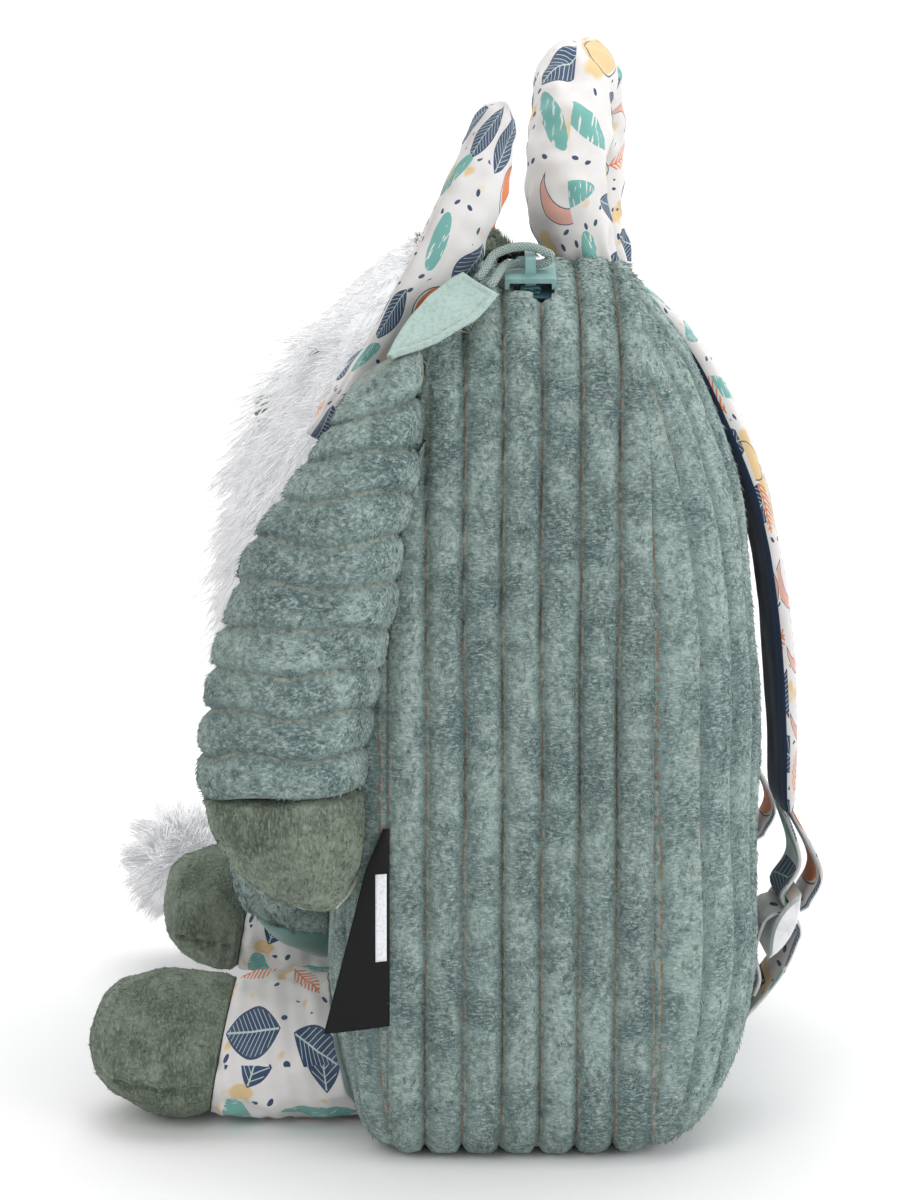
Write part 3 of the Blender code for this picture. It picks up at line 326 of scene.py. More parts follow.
def plump(piece, held, pressure, cap, frames=12):
    """Blows a stuffed piece up as cloth, held at some points, and caps how far each one moves."""
    group = piece.vertex_groups.new(name="held")
    group.add([int(i) for i in held], 1.0, "REPLACE")
    cloth = piece.modifiers.new("cloth", "CLOTH")
    cloth.settings.quality = 5
    cloth.settings.mass = 0.12
    cloth.settings.tension_stiffness = 12.0
    cloth.settings.compression_stiffness = 12.0
    cloth.settings.shear_stiffness = 6.0
    cloth.settings.bending_stiffness = 0.3
    cloth.settings.use_pressure = True
    cloth.settings.uniform_pressure_force = pressure
    cloth.settings.vertex_group_mass = "held"
    cloth.settings.effector_weights.gravity = 0.0
    cloth.point_cache.frame_start = 1
    cloth.point_cache.frame_end = frames
    for number in range(1, frames + 1):
        bpy.context.scene.frame_set(number)
    moved = piece.evaluated_get(bpy.context.evaluated_depsgraph_get()).data
    before = point_places(piece.data)
    step = point_places(moved) - before
    size = np.linalg.norm(step, axis=-1, keepdims=True)
    step *= cap * np.tanh(size / cap) / np.maximum(size, 1e-9)
    piece.modifiers.remove(cloth)
    piece.vertex_groups.remove(group)
    move_points(piece.data, before + step)
    bpy.context.scene.frame_set(1)
    return piece


# The bag's form, as in its solids

ARCH_POWER = 3.4
WAIST_SHARE = 0.75
SEAM_SHARES = np.array(((0.0, 0.00, 0.00), (WAIST_SHARE, 0.03, 0.28), (1.0, 0.38, 0.47)))
BAND_FRONT, BAND_REAR = 0.0380, 0.0390
FRONT_LEAN, REAR_LEAN = 0.0165, 0.0068
SLOT_CENTRE = 0.00275
SLOT_HALF = 0.0080
SLOT_ENDS = (-0.078, 0.084)
BACK_CREST = 0.0705
SEAM_DEPTH = 0.0021
SEAM_GAP = 0.0004
SIDE_RUN = 0.030
TOP_RUN = 0.120
FOOT_RUN = 0.060
PANEL_RIB = 0.0113


def settings():
    return bpy.context.scene.backpack_bag


def seam(side, z):
    """Place across of the front or back seam at a height, straight between three heights."""
    bag = settings()
    spring = bag.height - bag.rise
    heights = np.append(SEAM_SHARES[:, 0] * spring, bag.height)
    if side == "front":
        lean = np.append(SEAM_SHARES[:, 1], 1.0)
        return -BAND_FRONT + FRONT_LEAN * np.interp(z, heights, lean)
    lean = np.append(SEAM_SHARES[:, 2], 1.0)
    return BAND_REAR - REAR_LEAN * np.interp(z, heights, lean)


def arch_top(x, inset=0.0):
    """Height of the arched top: spring + rise * (1 - |x / half|^p)^(1/p)."""
    bag = settings()
    half, rise = bag.width / 2 - inset, bag.rise - inset
    share = np.clip(np.abs(x) / half, 0.0, 1.0)
    return bag.height - bag.rise + rise * (1.0 - share ** ARCH_POWER) ** (1.0 / ARCH_POWER)


def arch_foot(x, inset=0.0):
    """Height of the foot: flat, then a quarter circle at each corner."""
    bag = settings()
    radius = bag.foot_radius - inset
    past = np.maximum(0.0, np.abs(x) - (bag.width / 2 - bag.foot_radius))
    curved = bag.foot_radius - np.sqrt(np.maximum(0.0, radius ** 2 - past ** 2))
    return np.where(past > 0.0, curved, inset)


def outline(count):
    """The bag's outline seen from the front, evenly spaced, and its outward directions."""
    bag = settings()
    half, spring, radius = bag.width / 2, bag.height - bag.rise, bag.foot_radius
    turn = np.linspace(0.0, math.pi / 2, 60)
    corner = np.stack((half - radius + radius * np.sin(turn), radius - radius * np.cos(turn)), -1)
    turn = np.linspace(0.0, math.pi / 2, 600)
    arch = np.stack((half * np.cos(turn) ** (2 / ARCH_POWER),
                     spring + bag.rise * np.sin(turn) ** (2 / ARCH_POWER)), -1)
    right = np.vstack(((0.0, 0.0), corner, arch))
    loop = np.vstack((right, (right * (-1.0, 1.0))[::-1][1:]))
    loop = evenly(loop, count + 1)
    ahead = np.roll(loop[:-1], -1, axis=0) - np.roll(loop[:-1], 1, axis=0)
    out = unit(np.stack((ahead[:, 1], np.zeros(count), -ahead[:, 0]), axis=-1))
    return np.stack((loop[:-1, 0], np.zeros(count), loop[:-1, 1]), axis=-1), out


def rib_groove(phase, share=0.55):
    """1 at whole numbers, where two ribs meet: a round back and a narrow valley, added."""
    away = np.abs(2.0 * (phase - np.floor(phase)) - 1.0)
    return share * away ** 2.4 + (1.0 - share) * away ** 9.0


def rounded(run, length, power=2.0, root=2.0):
    """Rise of a rounded edge, from 0 at the outline to 1 a length inside it."""
    left = 1.0 - np.clip(run / length, 0.0, 1.0)
    return (1.0 - left ** power) ** (1.0 / root)


def band_sheet():
    """Ribs at a fixed pitch across the gusset, carried round the outline.

    Point = outline - outward * (groove depth + drawn-in edges + slow dents), and its place across
    goes straight from the front seam to the back seam.
    """
    bag = settings()
    around, across = 400, 66
    place, out = outline(around)
    share = np.linspace(0.0, 1.0, across)
    front, back = seam("front", place[:, 2]), seam("back", place[:, 2])
    y = front[:, None] + (back - front)[:, None] * share
    base = np.repeat(place[:, None], across, axis=1)
    base[..., 1] = y
    phase = (y + 0.0003 * ripple(base, 0.055, 11) + BAND_FRONT - 0.0004) / bag.rib_pitch
    depth = (bag.rib_relief * rib_groove(phase) + 0.0008 * (2.0 * share - 1.0) ** 2
             + 0.0008 * (ripple(base, 0.045, 3) + 0.8) + 0.00018 * ripple(base, 0.0042, 5))
    to_seam = np.minimum(share, 1.0 - share) * (back - front)[:, None]
    edge = np.exp(-(to_seam / 0.0022) ** 2)
    depth = depth * (1.0 - edge) + SEAM_DEPTH * edge
    low = np.clip(1.0 - place[:, 2] / 0.012, 0.0, 1.0)[:, None]
    depth = depth - low * 0.0007 * ripple(base, 0.050, 3)
    points = base - out[:, None] * np.maximum(depth, 0.0)[..., None]
    x, yy, z = points[..., 0], points[..., 1], points[..., 2]
    inside = ((np.abs(yy - SLOT_CENTRE) < SLOT_HALF - 0.0008) & (z > bag.height - bag.rise)
              & (x > SLOT_ENDS[0]) & (x < SLOT_ENDS[1]))
    closed = np.vstack((points, points[:1]))
    phase = np.vstack((phase, phase[:1]))
    inside = np.vstack((inside, inside[:1]))
    drop = inside[:-1, :-1] & inside[1:, :-1] & inside[:-1, 1:] & inside[1:, 1:]
    cloth = (run_length(closed.mean(axis=1)), share * 0.0766)
    return closed, phase, ~drop, cloth


def panel_sheet(side, depth, columns, rows):
    """A ribbed dome over the outline.

    Place across = seam + depth * (rounded sides * rounded top * rounded foot) + rib relief, with
    the ribs at a fixed pitch along the panel's own curve across.
    """
    bag = settings()
    sign = -1.0 if side == "front" else 1.0
    inset = SEAM_DEPTH + SEAM_GAP
    half = bag.width / 2 - inset
    x = half * np.sin(np.linspace(-math.pi / 2, math.pi / 2, columns))
    low, high = arch_foot(x, inset), arch_top(x, inset)
    share = (1.0 - np.cos(math.pi * np.linspace(0.0, 1.0, rows))) / 2
    z = low[:, None] + (high - low)[:, None] * share
    sides = rounded(half - np.abs(x), SIDE_RUN)
    swell = (sides[:, None] * rounded(high[:, None] - z, TOP_RUN, 2.6, 1.0)
             * rounded(z - low[:, None], FOOT_RUN))
    profile = np.stack((x, depth * sides), axis=-1)
    run = run_length(profile)
    phase = (run - run[-1] / 2) / PANEL_RIB
    base = np.stack(np.broadcast_arrays(x[:, None], np.zeros_like(z), z), axis=-1).copy()
    base[..., 1] = seam(side, z) + sign * (depth * swell - 0.0012 * np.exp(-swell * 30.0))
    phase = phase[:, None] + 0.04 * ripple(base, 0.060, 21)
    raised = (bag.rib_relief * (1.0 - rib_groove(phase)) * np.minimum(1.0, 3.0 * swell)
              - 0.0009 * (ripple(base, 0.050, 8) + 0.9) * swell + 0.00018 * ripple(base, 0.0042, 6))
    points = base.copy()
    points[..., 1] += sign * np.maximum(raised, 0.0)
    return points, phase, (run_length(points[:, rows // 2]), share * 0.26)


# Materials

class Shading:
    """One material's node tree, with short words for the nodes that it needs."""

    def __init__(self, name, roughness, sheen=0.0, specular=0.35):
        self.material = bpy.data.materials.new(name)
        self.material.use_nodes = True
        self.nodes = self.material.node_tree.nodes
        self.links = self.material.node_tree.links
        self.shader = self.nodes["Principled BSDF"]
        self.shader.inputs["Roughness"].default_value = roughness
        self.shader.inputs["Sheen Weight"].default_value = sheen
        self.shader.inputs["Sheen Roughness"].default_value = 0.45
        self.shader.inputs["Specular IOR Level"].default_value = specular
        self.place = self.nodes.new("ShaderNodeTexCoord")

    def put(self, value, socket):
        if isinstance(value, (int, float, tuple)):
            if isinstance(value, tuple) and len(value) == 3 and socket.type == "RGBA":
                value = (*value, 1.0)
            socket.default_value = value
        else:
            self.links.new(value, socket)

    def add(self, kind, sockets=(), **facts):
        node = self.nodes.new(kind)
        for key, value in facts.items():
            setattr(node, key, value)
        for key, value in dict(sockets).items():
            self.put(value, node.inputs[key])
        return node

    def object_place(self, scale=(1.0, 1.0, 1.0)):
        node = self.add("ShaderNodeMapping", {"Vector": self.place.outputs["Object"]})
        node.inputs["Scale"].default_value = scale
        return node.outputs["Vector"]

    def cloth_place(self, scale=(1.0, 1.0, 1.0)):
        source = self.add("ShaderNodeUVMap", uv_map="cloth").outputs["UV"]
        node = self.add("ShaderNodeMapping", {"Vector": source})
        node.inputs["Scale"].default_value = scale
        return node.outputs["Vector"]

    def sum(self, operation, first, second=0.0, clamp=False):
        node = self.add("ShaderNodeMath", operation=operation, use_clamp=clamp)
        self.put(first, node.inputs[0])
        self.put(second, node.inputs[1])
        return node.outputs[0]

    def times(self, first, second):
        return self.sum("MULTIPLY", first, second)

    def plus(self, first, second):
        return self.sum("ADD", first, second)

    def minus(self, first, second):
        return self.sum("SUBTRACT", first, second)

    def above(self, value, limit):
        return self.sum("GREATER_THAN", value, limit)

    def below(self, value, limit):
        return self.sum("LESS_THAN", value, limit)

    def size(self, value):
        return self.sum("ABSOLUTE", value)

    def noise(self, place, scale, detail=3.0, rough=0.55, bend=0.0):
        node = self.add("ShaderNodeTexNoise", {"Vector": place, "Scale": scale, "Detail": detail,
                                               "Roughness": rough, "Distortion": bend})
        return node.outputs["Fac"]

    def span(self, value, low, high, start=0.0, stop=1.0):
        """The value carried from one span to another and held at its ends."""
        node = self.add("ShaderNodeMapRange", {"Value": value, "From Min": low, "From Max": high,
                                               "To Min": start, "To Max": stop})
        return node.outputs["Result"]

    def blend(self, share, first, second):
        node = self.add("ShaderNodeMix", data_type="RGBA")
        self.put(share, node.inputs[0])
        self.put(first, node.inputs[6])
        self.put(second, node.inputs[7])
        return node.outputs[2]

    def bump(self, height, depth, under=None):
        node = self.add("ShaderNodeBump", {"Height": height, "Strength": 1.0, "Distance": depth})
        if under is not None:
            self.links.new(under, node.inputs["Normal"])
        self.links.new(node.outputs["Normal"], self.shader.inputs["Normal"])
        return node.outputs["Normal"]

    def colour(self, value):
        self.put(value, self.shader.inputs["Base Color"])
        return self.material


def plush_look(name, dark, middle, light, lie, ribs=False, patch=0.020, thread=0.0):
    """Cut pile: crushed patches, fine fibres along a lie and, between ribs, the ground cloth.

    ribs reads how far a point is between two valleys: painted shade darkens the flanks, a narrow
    strip of pale ground shows beside each valley, and a broken line of thread runs in it.
    """
    c = bpy.context.scene.backpack_colours
    work = Shading(name, 0.95, 0.45, 0.10)
    even = work.object_place()
    fibres = work.noise(work.object_place(lie), 1.0, 2.0, 0.6, 0.6)
    tufts = work.noise(even, 480.0, 3.0, 0.65, 0.3)
    patches = work.noise(even, 1.0 / patch, 3.0, 0.55, 0.9)
    tone = work.blend(work.span(patches, 0.38, 0.62), dark, middle)
    tone = work.blend(work.span(fibres, 0.42, 0.74, 0.0, 0.8), tone, light)
    tone = work.blend(work.span(tufts, 0.52, 0.30, 0.0, 0.75), tone, dark)
    if ribs:
        phase = work.add("ShaderNodeAttribute", attribute_name="ribs").outputs["Fac"]
        drift = work.times(work.minus(work.noise(even, 70.0, 1.0), 0.5), 0.07)
        part = work.sum("FRACT", work.plus(phase, drift))
        away = work.size(work.minus(work.times(part, 2.0), 1.0))
        # painted shade: the flanks darken toward each valley, up to half way to the shade colour
        tone = work.blend(work.span(away, 0.55, 0.90, 0.0, 0.50), tone, dark)
        strip = work.times(work.span(away, 0.80, 0.88), work.below(part, 0.5))
        ground = work.blend(work.span(tufts, 0.35, 0.65), dark, tuple(c.ground))
        tone = work.blend(work.times(strip, 0.60), tone, ground)
        stitch = work.span(work.noise(work.object_place((90.0, 90.0, 520.0)), 1.0, 1.0), 0.40, 0.56)
        line = work.times(work.span(away, 0.930, 0.970, 0.0, thread), stitch)
        tone = work.blend(line, tone, tuple(c.thread))
    height = work.plus(work.times(fibres, 0.7), work.times(tufts, 0.6))
    work.bump(height, bpy.context.scene.backpack_coat.pile_bump)
    work.shader.inputs["Sheen Tint"].default_value = (*light, 1.0)
    return work.colour(tone)


def ribbed_plush(name="ribbed_plush", lie=(650.0, 650.0, 1900.0), ribs=True, thread=0.85):
    c = bpy.context.scene.backpack_colours
    return plush_look(name, tuple(c.plush_dark), tuple(c.plush), tuple(c.plush_light), lie, ribs,
                      thread=thread)


def plush_tufts():
    """The modelled pile: the plush's own tones, lighter toward the light end."""
    c = bpy.context.scene.backpack_colours
    return plush_look("plush_tufts", tuple(c.plush_dark), tuple(c.plush),
                      tuple(1.08 * v for v in c.plush_light), (900.0, 900.0, 900.0))


def olive_plush(name="olive_plush", lie=(1500.0, 1500.0, 600.0)):
    c = bpy.context.scene.backpack_colours
    light = tuple(min(1.0, 1.45 * v) for v in c.olive)
    return plush_look(name, tuple(c.olive_dark), tuple(c.olive), light, lie, patch=0.016)


def fur_look():
    """Long white fibres, bright through because light scatters in them and a faint painted glow."""
    c = bpy.context.scene.backpack_colours
    work = Shading("white_fur", 0.6, 0.4, 0.2)
    tone = work.noise(work.object_place(), 160.0, 2.0)
    work.shader.inputs["Subsurface Weight"].default_value = 1.0
    work.shader.inputs["Subsurface Radius"].default_value = (1.0, 1.0, 1.0)
    work.shader.inputs["Subsurface Scale"].default_value = 0.012
    # painted glow: a faint white emission brightens the fur's shaded roots
    work.shader.inputs["Emission Color"].default_value = (0.95, 0.96, 1.0, 1.0)
    work.shader.inputs["Emission Strength"].default_value = 0.12
    shade = tuple(0.93 * v for v in c.fur)
    return work.colour(work.blend(work.span(tone, 0.35, 0.65), shade, tuple(c.fur)))


def motif_cells(work, cloth, pitch, offset):
    """Cells of one scattered motif each: place in its cell, turned, and two random numbers."""
    place = work.add("ShaderNodeMapping", {"Vector": cloth})
    place.inputs["Scale"].default_value = (1.0 / pitch, 1.0 / pitch, 1.0)
    place.inputs["Location"].default_value = (offset, 0.37 * offset, 0.0)
    cell = work.add("ShaderNodeTexVoronoi", {"Vector": place.outputs["Vector"], "Scale": 1.0,
                                             "Randomness": 0.55}, voronoi_dimensions="2D")
    away = work.add("ShaderNodeVectorMath", operation="SUBTRACT")
    work.links.new(place.outputs["Vector"], away.inputs[0])
    work.links.new(cell.outputs["Position"], away.inputs[1])
    chance = work.add("ShaderNodeSeparateColor", {"Color": cell.outputs["Color"]})
    turned = work.add("ShaderNodeVectorRotate", {"Vector": away.outputs[0],
                                                 "Angle": work.times(chance.outputs[0], TAU)},
                      rotation_type="Z_AXIS")
    parts = work.add("ShaderNodeSeparateXYZ", {"Vector": turned.outputs[0]})
    return parts.outputs[0], parts.outputs[1], chance.outputs[1], cell.outputs["Distance"]


def within(work, value, low, high):
    """1 where the value lies between two numbers."""
    return work.times(work.above(value, low), work.below(value, high))


def lens(work, x, y, half_x, half_y):
    """How deep a point lies in a pointed leaf form: 1 - (y/b)^2 - |x|/a."""
    across = work.sum("DIVIDE", work.size(x), half_x)
    along = work.sum("POWER", work.size(work.sum("DIVIDE", y, half_y)), 2.0)
    return work.minus(work.minus(1.0, along), across)


def disc(work, x, y, half_x, half_y, move_x=0.0, move_y=0.0):
    """How deep a point lies in an oval: 1 - (x/a)^2 - (y/b)^2."""
    over = work.sum("POWER", work.size(work.sum("DIVIDE", work.minus(x, move_x), half_x)), 2.0)
    up = work.sum("POWER", work.size(work.sum("DIVIDE", work.minus(y, move_y), half_y)), 2.0)
    return work.minus(work.minus(1.0, over), up)


def printed_cotton(name="printed_cotton", pitch=0.0195, offset=3.1):
    """Woven cotton with a scattered print of ribbed leaves, sprigs, strokes, crescents and dots."""
    c = bpy.context.scene.backpack_colours
    navy, teal, orange = tuple(c.print_navy), tuple(c.print_teal), tuple(c.print_orange)
    pink, cream, ground = tuple(c.print_pink), tuple(c.print_cream), tuple(c.print_ground)
    work = Shading(name, 0.85, 0.15, 0.25)
    cloth = work.cloth_place()
    hand = work.noise(cloth, 260.0, 2.0)
    rough_edge = work.times(work.minus(hand, 0.5), 0.35)
    x, y, pick, away = motif_cells(work, cloth, pitch, offset)
    tone = work.blend(work.span(work.noise(cloth, 55.0, 2.0), 0.60, 0.64), ground, cream)
    # Soft teal strokes, streaked along their length
    stroke = work.plus(disc(work, x, y, 0.17, 0.46), rough_edge)
    streak = work.noise(work.cloth_place((900.0, 150.0, 1.0)), 1.0, 2.0)
    fill = work.times(work.above(stroke, 0.0), work.above(streak, 0.40))
    tone = work.blend(work.times(fill, within(work, pick, 0.54, 0.70)), tone, teal)
    # Pink crescents with a thin navy line
    moon = work.sum("MINIMUM", disc(work, x, y, 0.40, 0.40),
                    work.times(disc(work, x, y, 0.40, 0.40, 0.20, 0.08), -1.0))
    chosen = within(work, pick, 0.70, 0.84)
    tone = work.blend(work.times(work.above(moon, 0.02), chosen), tone, pink)
    rim = within(work, work.plus(moon, work.times(rough_edge, 0.3)), -0.05, 0.02)
    tone = work.blend(work.times(rim, chosen), tone, navy)
    # Navy leaves with pale ribs
    leaf = lens(work, x, y, 0.29, 0.48)
    chosen = work.below(pick, 0.38)
    tone = work.blend(work.times(work.above(leaf, 0.0), chosen), tone, navy)
    slant = work.plus(y, work.times(work.size(x), -0.7))
    rib = work.below(work.sum("FRACT", work.times(slant, 13.0)), 0.17)
    vein = work.below(work.size(x), 0.012)
    veins = work.times(work.sum("MAXIMUM", rib, vein), work.above(leaf, 0.1))
    pale = tuple(0.45 * a + 0.55 * b for a, b in zip(teal, ground))
    tone = work.blend(work.times(veins, chosen), tone, pale)
    # Orange sprigs
    spread = lens(work, x, y, 0.21, 0.42)
    steep = work.plus(y, work.times(work.size(x), -0.9))
    frond = work.sum("SINE", work.times(steep, 66.0))
    stem = work.below(work.size(x), 0.016)
    comb = work.sum("MAXIMUM", work.above(frond, 0.1), stem)
    sprig = work.times(comb, work.above(spread, 0.0))
    tone = work.blend(work.times(sprig, within(work, pick, 0.38, 0.54)), tone, orange)
    # Cream and orange pebbles with a navy line set off from the fill
    pebble = work.plus(disc(work, x, y, 0.28, 0.36), rough_edge)
    chosen = work.above(pick, 0.84)
    warm = work.blend(work.above(pick, 0.92), cream, orange)
    tone = work.blend(work.times(work.above(pebble, 0.0), chosen), tone, warm)
    ring = within(work, disc(work, x, y, 0.27, 0.35, 0.04, -0.03), -0.06, 0.06)
    tone = work.blend(work.times(ring, chosen), tone, navy)
    # Small seeds between the motifs
    sx, sy, seed_pick, _ = motif_cells(work, cloth, pitch * 0.24, offset + 5.0)
    seed = work.above(disc(work, sx, sy, 0.13, 0.24), 0.0)
    free = work.times(work.above(away, 0.44), work.below(seed_pick, 0.40))
    tone = work.blend(work.times(seed, free), tone, navy)
    # painted shade: the cloth turns slightly grey-blue in the low places of the crease noise, which also
    # sets the bump
    crease = work.noise(work.object_place(), 90.0, 3.0, 0.5, 0.4)
    tone = work.blend(work.span(crease, 0.62, 0.35, 0.0, 0.10), tone, (0.35, 0.36, 0.40))
    u, v = (work.sum("SINE", work.times(o, TAU / 0.00042)) for o in
            work.add("ShaderNodeSeparateXYZ", {"Vector": cloth}).outputs[:2])
    weave = work.plus(work.times(u, v), work.times(crease, 9.0))
    work.bump(weave, 0.00006)
    return work.colour(tone)


def plain_look(name, colour, roughness, grain=600.0, depth=0.00008, sheen=0.0, specular=0.5):
    """One finish with a fine grain in its tone and its surface."""
    work = Shading(name, roughness, sheen, specular)
    grains = work.noise(work.object_place(), grain, 3.0)
    shade = tuple(0.80 * v for v in colour)
    work.bump(grains, depth)
    return work.colour(work.blend(work.span(grains, 0.55, 0.30), colour, shade))


LOOKS = {}


def look(name):
    """A finish by name, made once."""
    if name in LOOKS:
        return LOOKS[name]
    c = bpy.context.scene.backpack_colours
    makers = {
        "plush": ribbed_plush,
        "sleeve": lambda: ribbed_plush("sleeve_plush", (1500.0, 700.0, 1300.0), thread=0.15),
        "tufts": plush_tufts,
        "olive": olive_plush,
        "fur": fur_look,
        "print": printed_cotton,
        "print_small": lambda: printed_cotton("printed_webbing", 0.0190, 7.7),
        "print_large": lambda: printed_cotton("printed_leg_cotton", 0.0290, 2.2),
        "navy": lambda: plain_look("navy_cotton", tuple(0.55 * v for v in c.print_navy), 0.85, 1200.0,
                                   0.00008, 0.2, 0.2),
        "mint": lambda: plain_look("mint_cotton", tuple(c.mint), 0.9, 900.0, 0.00012, 0.3, 0.2),
        "moulding": lambda: plain_look("teal_moulding", tuple(c.moulding), 0.42, 300.0, 0.00002),
        "tape": lambda: plain_look("zip_tape", tuple(c.tape), 0.6, 1500.0, 0.00010, 0.1),
        "jersey": lambda: plain_look("teal_jersey", linear(110, 150, 143), 0.75, 1400.0, 0.00008, 0.3),
        "white": lambda: plain_look("white_moulding", linear(240, 240, 243), 0.32, 200.0, 0.00001),
        "black": lambda: plain_look("black_satin", linear(13, 13, 14), 0.6, 1300.0, 0.00010,
                                    0.03, 0.25),
        "strip": lambda: plain_look("white_satin", linear(236, 237, 244), 0.5, 1300.0, 0.00006, 0.2),
        "bead": lambda: plain_look("black_bead", linear(14, 14, 16), 0.12, 100.0, 0.000005),
        "thread": lambda: plain_look("seam_thread", linear(188, 190, 178), 0.8, 2500.0, 0.00008),
    }
    LOOKS[name] = makers[name]()
    return LOOKS[name]


# Stage

class BACKPACK_OT_stage(bpy.types.Operator):
    """A pale floor that curves up behind, soft lights and the camera"""

    bl_idname = "backpack.stage"
    bl_label = "Stage"

    def execute(self, context):
        turn = np.linspace(0.0, math.pi / 2, 40)
        line = np.vstack(((2.2, 0.0), np.stack((-0.9 - 0.8 * np.sin(turn), 0.8 - 0.8 * np.cos(turn)),
                                               axis=-1), (-1.7, 2.6)))
        y = np.linspace(-2.4, 2.4, 3)
        points = np.stack(np.broadcast_arrays(line[:, None, 0], y[None], line[:, None, 1]), axis=-1)
        points[..., 2] = np.maximum(points[..., 2], 0.0) - 0.0002
        work = Shading("studio_floor", 0.9, 0.0, 0.1)
        tone = work.noise(work.object_place(), 4.0, 2.0)
        work.colour(work.blend(work.span(tone, 0.3, 0.7), (0.90, 0.90, 0.905), (0.93, 0.93, 0.93)))
        floor = sheet_mesh("studio_floor", points, (line[:, 0], y), look=work.material,
                           centre=(0.0, 0.0, -4.0))
        world = bpy.data.worlds.new("studio")
        context.scene.world = world
        world.use_nodes = True
        world.node_tree.nodes["Background"].inputs["Color"].default_value = (1.0, 1.0, 1.0, 1.0)
        world.node_tree.nodes["Background"].inputs["Strength"].default_value = 0.50
        lights = (("key", (1.3, -1.0, 1.5), 1.1, 9.0), ("fill", (1.2, 1.5, 0.7), 1.2, 12.0),
                  ("rear", (0.3, 1.7, 0.8), 1.0, 7.0),
                  ("top", (-0.2, 0.1, 1.7), 1.5, 9.0), ("wall", (-0.6, 0.0, 1.9), 2.0, 16.0))
        for name, place, size, power in lights:
            lamp = bpy.data.lights.new(name, "AREA")
            lamp.energy = power
            lamp.size = size
            made = bpy.data.objects.new(name, lamp)
            made.location = place
            aim = Vector((-1.6, 0.0, 0.6)) if name == "wall" else Vector((0.0, 0.0, 0.13))
            made.rotation_euler = (aim - made.location).to_track_quat("-Z", "Y").to_euler()
            context.scene.collection.objects.link(made)
        camera = bpy.data.objects.new("camera", bpy.data.cameras.new("camera"))
        context.scene.collection.objects.link(camera)
        pitch = math.radians(7.0)
        turn = Matrix(((0.0, -math.sin(pitch), math.cos(pitch)), (1.0, 0.0, 0.0),
                       (0.0, math.cos(pitch), math.sin(pitch))))
        camera.matrix_world = Matrix.Translation((0.70, -0.020, 0.238)) @ turn.to_4x4()
        camera.data.lens = 65.25
        camera.data.sensor_width = 36.0
        camera.data.clip_start = 0.01
        context.scene.camera = camera
        context.scene.view_settings.view_transform = "Standard"
        return {"FINISHED"}


# Bag

class BACKPACK_OT_shell(bpy.types.Operator):
    """The ribbed gusset and the two ribbed panels, each a quilted wall"""

    bl_idname = "backpack.shell"
    bl_label = "Ribbed shell"

    def execute(self, context):
        bag = settings()
        points, phase, keep, cloth = band_sheet()
        band = sheet_mesh("ribbed_gusset", points, cloth, ribs=phase, keep=keep,
                          look=look("plush"), centre=(0.0, 0.0, 0.12))
        merged = bmesh.new()
        merged.from_mesh(band.data)
        bmesh.ops.remove_doubles(merged, verts=merged.verts, dist=1e-6)
        loose = [v for v in merged.verts if not v.link_faces]
        bmesh.ops.delete(merged, geom=loose, context="VERTS")
        merged.to_mesh(band.data)
        merged.free()
        thicken(band, bag.wall)
        place_piece(band, "plush", "side_band")
        for side, depth, columns in (("back", bag.back_depth, 170), ("front", bag.front_depth, 130)):
            points, phase, cloth = panel_sheet(side, depth, columns, 80)
            panel = sheet_mesh("ribbed_" + side, points, cloth, ribs=phase, look=look("plush"),
                               centre=(0.0, 0.0, 0.12))
            thicken(panel, bag.wall)
            place_piece(panel, "plush", side + "_panel")
        return {"FINISHED"}


# Small repeated forms

def solid_mesh(name, points, faces, material, smooth=True):
    """Many small closed forms as one mesh: points (forms, corners, 3) and one form's faces."""
    forms, corners = points.shape[:2]
    mesh = bpy.data.meshes.new(name)
    shift = (np.arange(forms) * corners)[:, None, None]
    listed = []
    for kind in faces:
        listed += (np.asarray(kind)[None] + shift).reshape(-1, len(kind[0])).tolist()
    mesh.from_pydata(points.reshape(-1, 3).tolist(), [], listed)
    mesh.update()
    if smooth:
        mesh.shade_smooth()
    mesh.materials.append(material)
    made = bpy.data.objects.new(name, mesh)
    bpy.context.scene.collection.objects.link(made)
    return made


def around(aims):
    """Two directions square to each aim and to one another."""
    other = np.where(np.abs(aims[..., 2:3]) < 0.8, Z_AXIS, X_AXIS)
    first = unit(np.cross(other, aims))
    return first, np.cross(aims, first)


def hairs(name, roots, aims, bends, lengths, width, material):
    """Tapered three-sided hairs: p(t) = root + length * (t * aim + t^2 * bend)."""
    first, second = around(aims)
    rings = []
    for t, share in ((0.0, 1.0), (0.5, 0.72)):
        middle = roots + lengths[:, None] * (t * aims + t * t * bends)
        for k in range(3):
            turn = TAU * k / 3
            rings.append(middle + width * share * (first * math.cos(turn) + second * math.sin(turn)))
    rings.append(roots + lengths[:, None] * (aims + bends))
    sides = [(0, 1, 4, 3), (1, 2, 5, 4), (2, 0, 3, 5)]
    caps = [(3, 4, 6), (4, 5, 6), (5, 3, 6), (2, 1, 0)]
    return solid_mesh(name, np.stack(rings, axis=1), (sides, caps), material)


